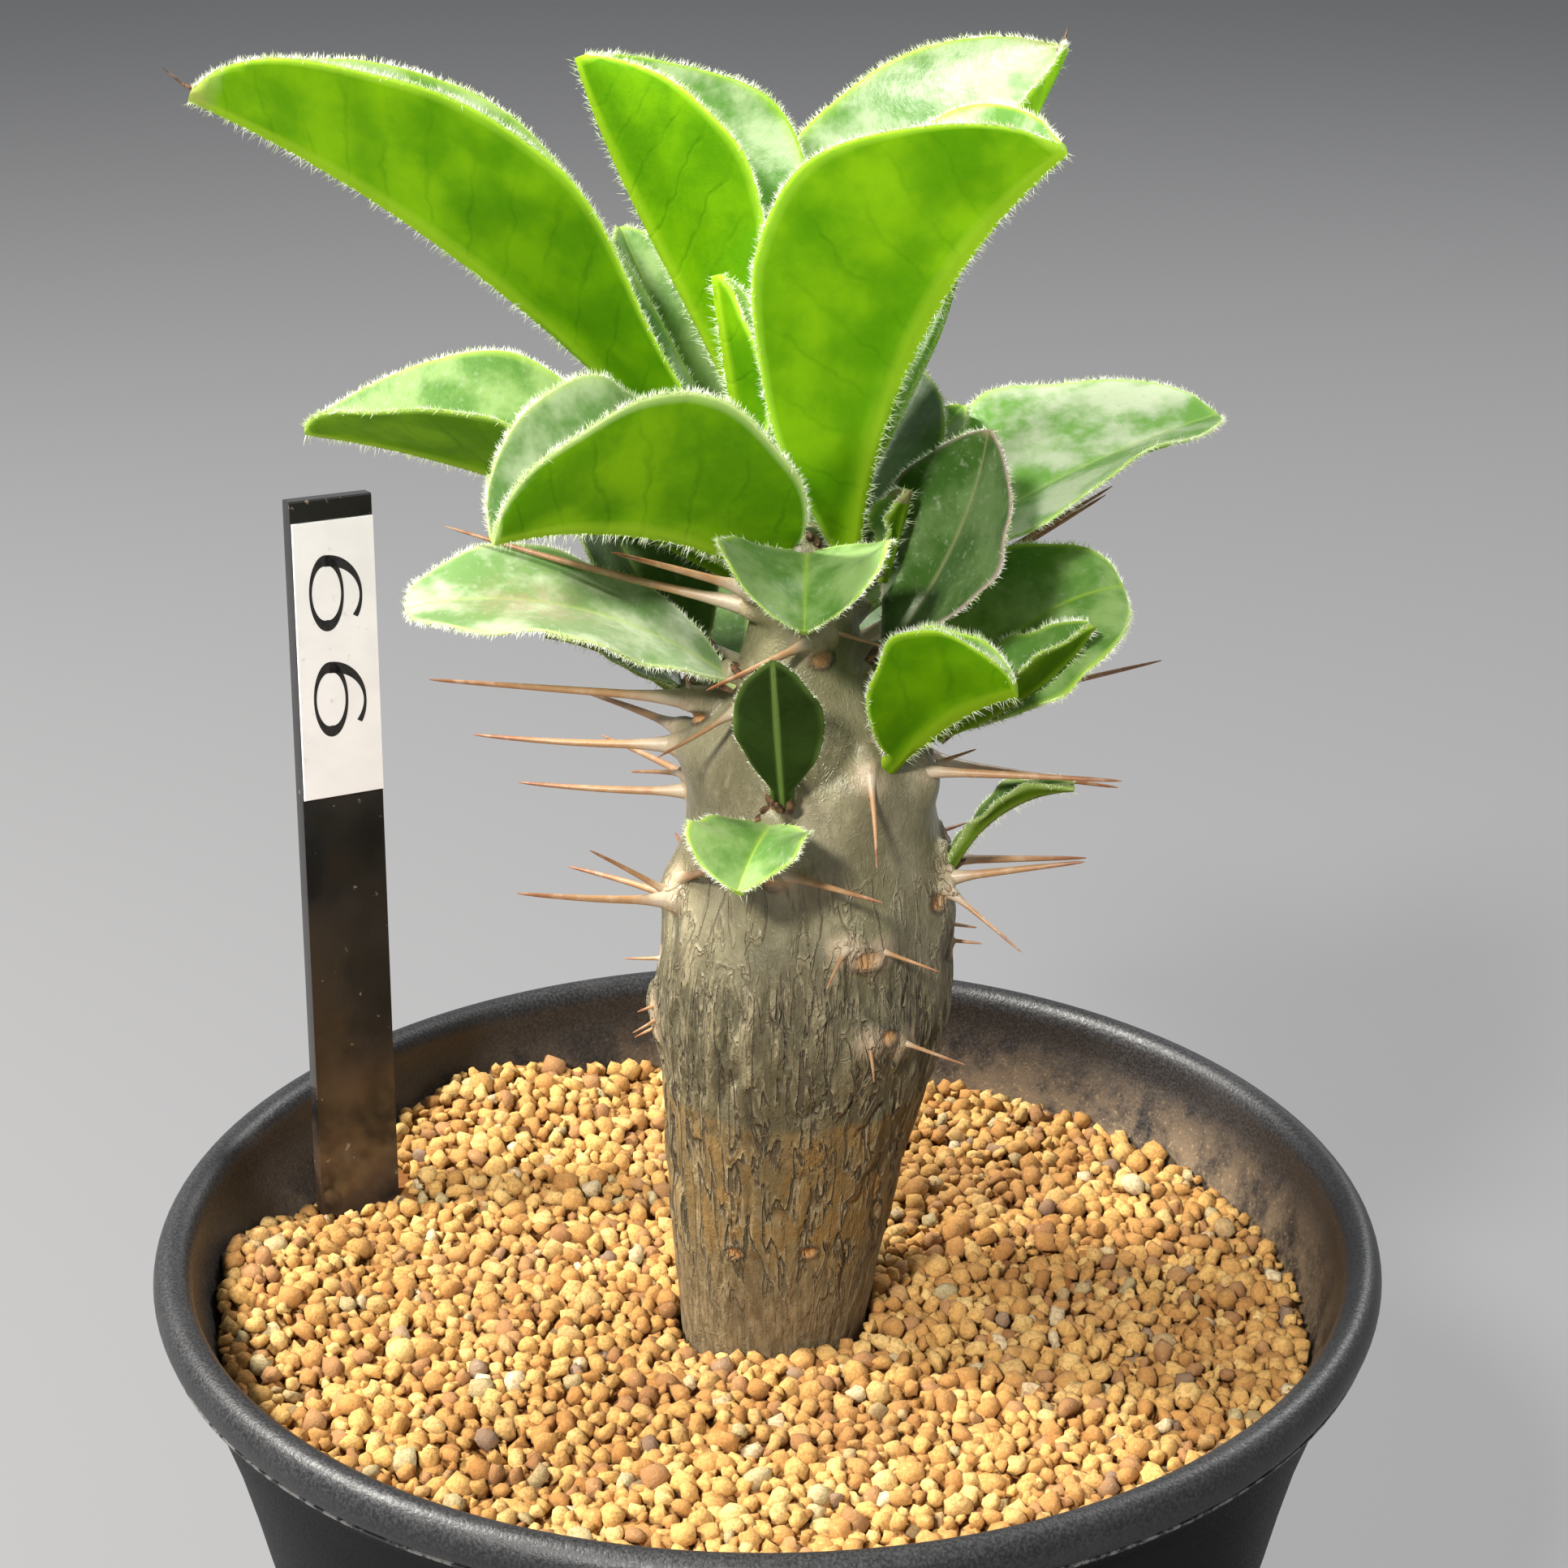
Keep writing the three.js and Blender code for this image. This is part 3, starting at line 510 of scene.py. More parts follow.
def lay_grains(name, seed, radii, tries, sunk, shade, tree):
    """One layer of grains, sunk below the grit's top and darkened by this much painted shade."""
    draws = np.random.default_rng(seed)
    x, y, size = scattered(draws, radii, tries).T
    count = len(x)
    rise = draws.uniform(*GRAIN_RISE, count) * size
    places = np.column_stack([x, y, soil_height(x, y) - sunk + rise])
    stretch = draws.uniform(*GRAIN_STRETCH, (count, 3))
    sizes = size[:, None] * stretch * 1.02 / 1000
    turns = draws.uniform(0, 2 * math.pi, (count, 3))
    tints = draws.random(count)
    damp = np.array([noise.noise(Vector((a / DAMP_PATCH, b / DAMP_PATCH, 2.6))) for a, b in zip(x, y)])
    # Painted shade for the layer, plus damp patches and a random spread from grain to grain.
    dark = shade + 0.75 * np.clip(damp - 0.10, 0, 0.4) + draws.uniform(-0.12, 0.12, count)
    values = {"tint": tints, "shade": np.clip(dark, 0, 1)}
    grown(name, places, {"turn": turns, "size": sizes}, values, tree, "soil")


tree = grain_tree("loose_grains", grit.material)
lay_grains("grit_lower", seed=11, tries=40000, sunk=1.5, shade=0.45, tree=tree,
           radii=[(1.05, 0.4), (0.82, 0.6)])
lay_grains("grit_upper", seed=5, tries=70000, sunk=0.25, shade=0.10, tree=tree,
           radii=[(1.15, 0.02), (1.0, 0.08), (0.84, 0.30), (0.71, 0.35), (0.56, 0.25)])

# Stem. A swollen living stem: rough vertical fissures in grey brown bark below, a rust coloured
# band near the grit, smooth silvery green skin above. Short arms near the top carry the leaves,
# and low cushions mark where older leaves and their spines grew.
STEM_STATIONS = np.array([
    (84, 0, 8.0), (100, 0.3, 9.8), (107, 0.7, 10.6), (117, 1.2, 11.9), (127.5, 2.0, 13.1),
    (137, 3.4, 14.7), (143.5, 3.9, 15.9), (152, 4.1, 15.6), (158.5, 4.6, 14.2), (166, 4.7, 13.2),
    (171, 4.6, 12.8), (175, 4.2, 11.2), (178, 3.8, 8.6), (181, 3.6, 7.0), (186, 3.8, 5.9),
    (191, 3.8, 5.0), (195, 3.6, 3.6), (197.5, 3.5, 1.5),
])
CUSHIONS = [
    (180, 158, 1.6), (272, 164.5, 1.0), (300, 173, 1.5), (8, 160, 1.6), (340, 172, 1.8), (345, 156, 1.3),
    (295, 157, 1.6), (298, 146, 1.2), (200, 175, 1.6), (240, 179, 1.6), (178, 143, 1.2), (185, 174, 1.4),
    (100, 168, 1.5), (70, 155, 1.5), (130, 150, 1.4), (50, 172, 1.5), (150, 166, 1.5), (90, 142, 1.2),
]
LEAF_SCARS = [
    (292, 155.3, 1.5), (253, 163.5, 1.1), (334, 158.3, 1.2), (287, 185.1, 1.2), (300, 146.4, 1.1),
    (188, 177.6, 1.3), (5, 163.0, 1.2), (70, 158, 1.4), (130, 153, 1.3), (150, 169, 1.3), (90, 145, 1.2),
    (-76, 119.5, 1.0), (-114, 119.2, 1.0),
]
LEAF_COLUMNS = ("base", "head", "rise", "droop", "length", "width")
LEAF_TABLE = [
    ((1, 5.2, 193.3), 177, 52, -29, 75.5, 32.4,
     dict(fold=57, fold2=43, cup=8, roll=3, peak=1.5, blunt=0.68, wave=0.6)),
    ((2.5, 5.9, 194.1), 150, 78, -9, 54, 32.9, dict(fold=74, fold2=59, bow=-17, cup=8, peak=1.9, wave=0.5)),
    ((5, 4.8, 193.5), 38, 58, -5, 58.5, 40.7,
     dict(fold=38, fold2=44, cup=10, peak=1.6, blunt=0.65, wave=0.8)),
    ((7.5, -3.1, 193.5), 331, 83, -44, 52, 34,
     dict(fold=58, fold2=52, cup=6, roll=3, peak=1.55, blunt=0.66, skew=-0.08, wave=0.6)),
    ((0, 7.9, 191.4), 128, 51, -1, 40, 18, dict(fold=30, fold2=33)),
    ((0.6, -2, 197.4), 170, 77, 5, 26.5, 9, dict(fold=50)),
    ((-1, 1.6, 191.3), 165, 25, -23, 51, 26, dict(fold=38, fold2=42, wave=0.9)),
    ((0.5, -3.7, 194.7), 212, 31, -37, 33, 31.9,
     dict(fold=57, fold2=63, cup=12, roll=9, peak=0.9, blunt=0.6)),
    ((-4, -4.2, 182.8), 186, 36, -48, 34.5, 17.6, dict(fold=11, fold2=8, roll=-14, blunt=0.42, wave=0.5)),
    ((-6.5, 6.2, 181.2), 144, 31, 47, 24.5, 19.6, dict(fold=30, fold2=33, roll=-10, peak=1.1, blunt=0.7)),
    ((-8.5, 2, 179), 160, 32, -35, 16.5, 14, dict(fold=20)),
    ((4, -7.5, 197.2), 268, -10, -36, 11.5, 20, dict(fold=36, cup=12, peak=1, blunt=0.6)),
    ((11.5, -3.9, 184.5), 27, 44, 38, 26, 20.9, dict(fold=27, fold2=0, roll=-7)),
    ((18, 2.6, 174.5), 15, 60, -57, 25.5, 20,
     dict(fold=19, fold2=13, roll=28, blunt=0.5, skew=-0.15, wave=0.6)),
    ((12.5, -8.5, 175.5), 341, 51, -36, 16, 19, dict(fold=86, fold2=62, blunt=0.6, skew=-0.15)),
    ((15.5, -3, 176), 0, 15.5, 42, 21.5, 12, dict(fold=35)),
    ((9.6, 5.1, 187.4), 20, 31, -20, 44.5, 26.3, dict(fold=18, roll=4, blunt=0.55, skew=0.15, wave=0.9)),
    ((6.2, 6.4, 192), 62, 31.5, 24.6, 25.5, 18, dict(fold=20)),
    ((8.6, 7.8, 190), 50, 40, -10, 24, 10, dict(fold=25)),
    ((11.5, 1, 192.5), 20, 72, 0, 8.5, 5, dict(fold=45)),
    ((1.6, -13.6, 173), 262, 66, 5, 18, 9, dict(fold=12, rib=0.2, peak=1.08)),
    ((0.5, -14.4, 170.6), 250, -6, -30, 10.5, 14, dict(fold=30, blunt=0.6)),
    ((19, -3.2, 162), 350, 62, -60, 16.5, 3.6, dict(fold=35)),
    ((5, 8, 184.5), 85, 38, -25, 30, 18, dict(fold=25)),
    ((-3.5, 9.5, 177.5), 115, 25, -30, 24, 14, dict(fold=22)),
    ((10.5, 10.5, 175), 75, 20, -30, 26, 15, dict(fold=22)),
]


def stem_at(height):
    """Middle x and radius of the stem at a height, rounded off between its stations."""
    near = [height + shift for shift in np.linspace(-2.5, 2.5, 7)]
    middle = np.mean([np.interp(z, STEM_STATIONS[:, 0], STEM_STATIONS[:, 1]) for z in near], axis=0)
    radius = np.mean([np.interp(z, STEM_STATIONS[:, 0], STEM_STATIONS[:, 2]) for z in near], axis=0)
    return middle, radius


def skin_over(rings, sides):
    """The faces of a closed tube over this many rings, from its start to its end."""
    faces = []
    for i in range(rings - 1):
        faces += band(i * sides, (i + 1) * sides, sides)
    faces.append(tuple(reversed(range(sides))))
    faces.append(tuple(range((rings - 1) * sides, rings * sides)))
    return faces


def tube(path, radii, sides):
    """A closed tube through points, each ring square to the way the path runs there."""
    path = np.asarray(path, dtype=float)
    points = []
    way = path[1] - path[0]
    way /= np.linalg.norm(way)
    helper = np.array([1.0, 0, 0]) if abs(way[2]) > 0.9 else np.array([0, 0, 1.0])
    side = np.cross(helper, way)
    for i, (spot, radius) in enumerate(zip(path, radii)):
        way = path[min(i + 1, len(path) - 1)] - path[max(i - 1, 0)]
        way /= np.linalg.norm(way)
        side = side - way * side.dot(way)
        side /= np.linalg.norm(side)
        up = np.cross(way, side)
        for turn in np.arange(sides) * 2 * math.pi / sides:
            points.append(spot + radius * (side * math.cos(turn) + up * math.sin(turn)))
    return points, skin_over(len(path), sides)


def leaf_heading(leaf, share):
    """The way a leaf's midrib runs at a share of its length."""
    share = max(share, 0)
    bow = leaf["bow"] * math.sin(math.pi * share)
    slope = math.radians(leaf["rise"] + leaf["droop"] * share ** 1.2 + bow)
    head = math.radians(leaf["head"] + leaf["turn"] * share)
    flat = math.cos(slope)
    return np.array([flat * math.cos(head), flat * math.sin(head), math.sin(slope)])


PLAIN_LEAF = dict(turn=0, bow=0, fold2=None, cup=0, roll=0, peak=1.25, blunt=0.75, skew=0, wave=0.35,
                  rib=1)
LEAVES = [PLAIN_LEAF | dict(zip(LEAF_COLUMNS, row)) | row[-1] for row in LEAF_TABLE]

STEM_SIDES = 96
STEM_FOOT = 84
STEM_TOP = 197.5
CUSHION_SPREAD = 3.4
ARM_RADII = [2.3, 2.2, 1.85, 1.5]
ARM_SIDES = 16
points = []
for height in np.append(np.arange(STEM_FOOT, STEM_TOP - 0.5, 1.0), STEM_TOP):
    middle, radius = stem_at(height)
    turns = np.arange(STEM_SIDES) * 2 * math.pi / STEM_SIDES
    reach = np.full(STEM_SIDES, radius)
    for degrees, at, out in CUSHIONS:
        away = (turns - math.radians(degrees) + math.pi) % (2 * math.pi) - math.pi
        reach += out * np.exp(-(np.square(away * radius) + (height - at) ** 2) / CUSHION_SPREAD ** 2)
    points += list(zip(middle + reach * np.cos(turns), reach * np.sin(turns), [height] * STEM_SIDES))
faces = skin_over(len(points) // STEM_SIDES, STEM_SIDES)
for leaf in LEAVES:
    seat = np.array(leaf["base"])
    low = min(seat[2] - 3.5, STEM_TOP - 4)
    root = np.array([stem_at(low)[0], 0, low])
    tip = seat + leaf_heading(leaf, 0) * 0.7
    middle = root + (seat - root) * 0.55
    added(points, faces, *tube([root, middle, (middle + tip) / 2, tip], ARM_RADII, ARM_SIDES))

SPINES = [
    (-9, -2, 179.5, -34.5, -6, 183), (-9.5, 3, 174.5, -20, 14, 174.5), (-10, -1, 174, -31, 2, 174),
    (-9, 6, 168, -15, 13, 165.5), (4.5, -6, 187, -6, -15, 185), (-3.5, -8, 180, -11, -14, 177.5),
    (-10.5, -3, 158, -18.5, -7, 164.5), (-10.5, -5, 158, -26, -9, 160.5),
    (-9, -3, 159.6, -5, -19, 167.5), (1.5, -13.5, 164.5, 11.5, -22, 165),
    (10.5, -11, 174, 11, -18, 167), (15.5, -5, 172.5, 36.5, -8, 172.5), (18, 3, 170.5, 38, 8, 165.5),
    (19, 1, 160, 34.5, 5, 158.5), (19, -4, 160, 33, -8, 163.5), (19.5, -6, 159, 26.5, -11, 154.5),
    (8, -15, 156.5, 6, -20, 154.5), (11.5, -13.5, 156, 17.5, -19, 156),
    (10.5, -14.5, 146, 11, -18, 143), (14, -12.5, 145, 20.5, -17, 144.5), (19.5, 0, 153, 22.5, 0, 152.5),
    (19.5, -1, 151.5, 23, -2, 151.5), (-11.5, -2, 144.5, -14, -3, 144), (-11.5, -2, 143, -14.5, -4, 142),
    (-11.5, -2, 142, -14.5, 0, 139.5), (-11, 0, 149, -15.5, 1, 148.5), (9.5, 7, 182.5, 37, 16, 197),
    (9.5, 8.5, 181.5, 36.5, 17.5, 195.6), (6, -5, 188, 13.5, -6, 186), (16.5, 8.5, 173.5, 43.5, 19, 176.2),
    (-2.5, -5, 192.5, -15.5, -9, 197.5), (-2.5, -3, 190, -33, 1, 197.2), (18, 0, 171.5, 22, 0, 173),
    (-8, -2, 180.5, -9, -3, 185), (7.5, -2, 189.5, 12, -2, 196.5),
]
FAR_PAIRS = [
    (100, 168, 20, 5), (70, 155, 18, -5), (130, 150, 17, 5),
    (50, 172, 22, 10), (150, 166, 19, 0), (90, 142, 12, -10),
]
FAR_ROOT_SPREAD = 5
FAR_TIP_SPREAD = 22
ROOT_RADII = np.array([1.7, 1.5, 1.0, 0.6])
ROOT_SIDES = 12
spines = [(np.array(row[:3], dtype=float), np.array(row[3:], dtype=float)) for row in SPINES]
for degrees, height, length, rise in FAR_PAIRS:
    for side in (-1, 1):
        turn = math.radians(degrees + FAR_ROOT_SPREAD * side)
        head = math.radians(degrees + FAR_TIP_SPREAD * side)
        middle, radius = stem_at(height)
        out = radius + 0.9
        root = np.array([middle + out * math.cos(turn), out * math.sin(turn), height])
        run = length * math.cos(math.radians(rise))
        lift = length * math.sin(math.radians(rise))
        spines.append((root, root + np.array([run * math.cos(head), run * math.sin(head), lift])))


def spine_run(root, tip):
    """A spine's way, its length, and its stoutness as a share of a long spine's."""
    length = np.linalg.norm(tip - root)
    return (tip - root) / length, length, min(max(length / 15, 0.45), 1)


for root, tip in spines:
    way, length, size = spine_run(root, tip)
    middle, radius = stem_at(root[2])
    proud = max(math.hypot(root[0] - middle, root[1]) - radius, 0)
    path = [root - way * (2.5 + proud), root - way * 0.8, root + way * 0.4 * size, root + way * 1.5 * size]
    added(points, faces, *tube(path, ROOT_RADII * size, ROOT_SIDES))

bark = Finish("stem_bark")
rough_part = bark.stored("bark")
crack = bark.stored("crack")
fleck = bark.cloud(1.1, 4, 0.65, (1, 1, 0.55))
mottle = bark.cloud(7, 4, 0.6, (1, 1, 0.6))
skin = bark.blend(bark.ramp(mottle, 0.35, 0.7), (0.155, 0.138, 0.070), (0.30, 0.265, 0.165))
skin = bark.blend(bark.ramp(fleck, 0.50, 0.70, 0, 0.35), skin, (0.38, 0.335, 0.20))
skin = bark.blend(bark.stored("young"), skin, (0.165, 0.155, 0.075))
cork = bark.blend(bark.ramp(mottle, 0.38, 0.66), (0.040, 0.032, 0.013), (0.082, 0.062, 0.027))
# Ridge crests are painted paler: a painted highlight where the raised ridges catch light.
cork = bark.blend(bark.times(bark.stored("crest"), 0.26), cork, (0.29, 0.235, 0.125))
streak = bark.cloud(0.6, 4, 0.6, (1, 1, 0.16))
flake = bark.cloud(1.1, 3, 0.55, (1, 1, 0.34), 0.5)
cork = bark.blend(bark.ramp(flake, 0.52, 0.62, 0, 0.42), cork, (0.235, 0.195, 0.105))
cork = bark.blend(bark.ramp(flake, 0.46, 0.38, 0, 0.35), cork, (0.052, 0.040, 0.018))
cork = bark.blend(0.30, cork, (0.135, 0.127, 0.070))
rusty = bark.times(bark.stored("rust"), bark.ramp(bark.cloud(4, 4, 0.6), 0.35, 0.62, 0.35, 0.95))
cork = bark.blend(rusty, cork, (0.20, 0.120, 0.036))
pale_foot = bark.blend(bark.ramp(streak, 0.40, 0.62), (0.125, 0.086, 0.041), (0.24, 0.175, 0.092))
cork = bark.blend(bark.stored("foot"), cork, pale_foot)
tone = bark.blend(rough_part, skin, cork)
wrinkled = bark.stored("wrinkled")
broken = bark.ramp(bark.cloud(2.2, 3, 0.6, (1, 1, 0.45)), 0.41, 0.50)
fissured = bark.times(bark.stored("fissured"), broken)
long_line = bark.times(bark.threads(1.7, 0.042, (1, 1, 0.10), 0.35), fissured)
long_lip = bark.times(bark.threads(1.7, 0.110, (1, 1, 0.10), 0.35), fissured)
short_line = bark.times(bark.threads(2.2, 0.020, (1, 1, 0.22), 0.5), wrinkled)
short_lip = bark.times(bark.threads(2.2, 0.060, (1, 1, 0.22), 0.5), wrinkled)
short_line = bark.times(short_line, 0.40)
lip = bark.sum("MAXIMUM", long_lip, short_lip)
line = bark.sum("MAXIMUM", long_line, short_line)
# The lips beside the fissures are painted pale: a painted highlight on their raised edges. The fissure
# lines and cracks are painted dark.
tone = bark.coats(
    tone, (bark.times(lip, 0.42), (0.40, 0.335, 0.20)), (bark.times(line, 0.85), (0.040, 0.028, 0.014)),
    (bark.ramp(crack, 0.25, 0.95, 0, 0.42), (0.060, 0.042, 0.020)),
    (bark.stored("ring"), (0.060, 0.036, 0.018)), (bark.stored("scar"), (0.42, 0.215, 0.075)),
    (bark.times(bark.stored("root"), 0.6), (0.52, 0.40, 0.26)))
relief = bark.bump(bark.times(flake, rough_part), 0.5)
relief = bark.bump(bark.cloud(0.5, 4, 0.7, (1, 1, 0.5)), 0.10, relief)
relief = bark.bump(bark.sum("SUBTRACT", lip, bark.times(line, 2.5)), 0.22, relief)
relief = bark.bump(bark.threads(1.4, 0.05, (1, 1, 0.7), 1.2), 0.03, relief)
sheen = bark.sum("ADD", bark.ramp(rough_part, 0, 1, 0.34, 0.66), bark.ramp(fleck, 0.3, 0.7, -0.08, 0.08))
bark.set(Base_Color=tone, Roughness=sheen, Normal=relief)

SKIN_VOXEL = 0.38
SKIN_PASSES = 7
CRACK_DEPTH = 0.32
CREST_HEIGHT = 0.30
RING_HEIGHT = 0.22
SCAR_DEPTH = 0.20
stem = add_mesh("stem_body", points, faces)
union = stem.modifiers.new("one skin", "REMESH")
union.mode = "VOXEL"
union.voxel_size = SKIN_VOXEL / 1000
flow = stem.modifiers.new("flow", "SMOOTH")
flow.factor = 0.5
flow.iterations = SKIN_PASSES
mesh = settled(stem)
mesh.materials.clear()
mesh.materials.append(bark.material)
spots = places_of(mesh)
normals = np.empty(3 * len(mesh.vertices), dtype=np.float32)
mesh.vertices.foreach_get("normal", normals)
normals = normals.reshape(-1, 3).astype(float)


def noise_over(points, across, upright, shift=0.0):
    """Smooth noise from -1 to 1 over points, with patches of these sizes in millimetres."""
    scaled = points / (across, across, upright) + shift
    return np.array([noise.noise(Vector(row)) for row in scaled])


def step_over(value, low, high):
    """A soft step from 0 at low to 1 at high, also where low is the larger."""
    share = np.clip((value - low) / (high - low), 0, 1)
    return share * share * (3 - 2 * share)


height = spots[:, 2]
middle, radius = stem_at(height)
angle = np.degrees(np.arctan2(spots[:, 1], spots[:, 0] - middle))
out = np.hypot(spots[:, 0] - middle, spots[:, 1]) - radius
broad = noise_over(spots, 6, 10)
near_skin = step_over(out, 3.2, 1.4)
roughness = step_over(height + 5 * broad, 160, 149) * near_skin
wander = spots + np.outer(noise_over(spots, 2.6, 4.5, 7.3), (0.5, 0.5, 0))
ridge = noise_over(wander, 1.7, 13, 3.1)
gate = step_over(noise_over(spots, 3.0, 7, 9.9), -0.22, 0.10)
depth = step_over(height + 3 * broad, 156, 147) * step_over(height + 2 * broad, 106, 122)
crack = step_over(np.abs(ridge), 0.11, 0.02) * depth * gate
small = noise_over(wander, 0.9, 2.2, 11.7)
wrinkle = step_over(np.abs(small), 0.10, 0.02) * step_over(height, 166, 156) * step_over(height, 140, 150)
crack = np.clip(crack + 0.22 * wrinkle * gate, 0, 1) * near_skin
crest = step_over(ridge, 0.06, 0.30) * depth * near_skin
shift = 0.10 * broad - CRACK_DEPTH * crack + CREST_HEIGHT * crest
shift += 0.09 * noise_over(spots, 1.2, 4, 2.2) * roughness
scar = np.zeros(len(spots))
ring = np.zeros(len(spots))
for degrees, at, size in LEAF_SCARS:
    away = np.radians((angle - degrees + 180) % 360 - 180) * np.maximum(radius, 5)
    reach = np.hypot(away / (size * 1.15), (height - at) / (size * 0.9))
    reach = np.where(out < 4, reach, 9)
    scar = np.maximum(scar, step_over(reach, 0.85, 0.55))
    ring = np.maximum(ring, step_over(np.abs(reach - 0.95), 0.32, 0.10))
shift += RING_HEIGHT * ring - SCAR_DEPTH * scar
spots += normals * (shift * step_over(np.abs(out), 9, 2.2))[:, None]
mesh.vertices.foreach_set("co", (spots / 1000).astype(np.float32).ravel())
mesh.update()
root_tone = np.zeros(len(spots))
for spot, tip in spines:
    root_tone = np.maximum(root_tone, step_over(np.linalg.norm(spots - spot, axis=1), 2.6, 1.0))
rust = step_over(height + 0.6 * broad, 136.2, 134.8) * step_over(height + 4 * broad, 112, 122)
wrinkled = near_skin * step_over(height + 3 * broad, 168, 158) * step_over(height, 140, 148)
set_values(mesh, bark=roughness, crack=crack, fissured=depth * near_skin * step_over(height, 158, 150),
           wrinkled=wrinkled, crest=crest, young=step_over(height + 3 * broad, 176, 190), rust=rust,
           foot=0.75 * step_over(height + 4 * broad, 122, 112), ring=0.8 * ring * (1 - scar),
           scar=scar, root=root_tone)
mesh.shade_smooth()
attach(stem, "root")
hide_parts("stem")

# Spines. Stiff straight thorns, most of them in pairs beside a leaf scar: pale and thick where
# they leave the skin, tan to rust brown along their length, with a darker hard point.
thorn = Finish("thorn")
along = thorn.stored("along")
horn = thorn.blend(thorn.ramp(along, 0.03, 0.28), (0.47, 0.39, 0.28), (0.37, 0.205, 0.095))
horn = thorn.blend(thorn.ramp(along, 0.50, 0.95), horn, (0.24, 0.088, 0.034))
horn = thorn.blend(thorn.ramp(thorn.cloud(1.6, 3), 0.45, 0.7, 0, 0.4), horn, (0.52, 0.39, 0.26))
thorn.set(Base_Color=horn, Roughness=0.42, Normal=thorn.bump(thorn.cloud(0.4, 3), 0.04))
SPINE_TAPER = [0, 0.06, 0.13, 0.22, 0.5, 0.84, 0.95, 1], [1.05, 0.80, 0.60, 0.46, 0.36, 0.23, 0.15, 0.05]
SPINE_STEPS = [-0.1, 0.0, 0.06, 0.13, 0.22, 0.36, 0.52, 0.68, 0.84, 0.95, 1.0]
SPINE_SIDES = 10
points = []
faces = []
shares = []
for number, (root, tip) in enumerate(spines):
    way, length, size = spine_run(root, tip)
    sideways = np.cross(way, (0, 0, 1))
    sideways /= np.linalg.norm(sideways)
    sag = 0.018 * length * math.sin(2.4 * number)
    path = []
    radii = []
    for step in SPINE_STEPS:
        bend = sag * math.sin(math.pi * max(step, 0))
        path.append(root + way * step * length + (sideways + np.array([0, 0, 0.5])) * bend)
        radii.append(np.interp(step, *SPINE_TAPER))
        shares += [step] * SPINE_SIDES
    added(points, faces, *tube(path, np.array(radii) * max(size, 0.5), SPINE_SIDES))
thorns = add_mesh("stem_spines", points, faces, thorn.material, 60)
set_values(thorns.data, along=shares)
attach(thorns, "root")
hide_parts("stem")

# Leaves. Fleshy oval blades folded up along the midrib, shiny or downy above and matt below, with
# a paler margin. Paler patches on the upper sides are painted highlights that stand for gloss.
# Light shines through the young ones. Each sits on the end of its own arm.
LEAF_THICKNESS = 0.7
LEAF_ROWS = 44
HALF_COLUMNS = 12
MARGIN_WIDTH = 0.5
MARGIN_BULGE = 0.14
VEIN_SPACING = 4.6
VEIN_SLANT = 0.42


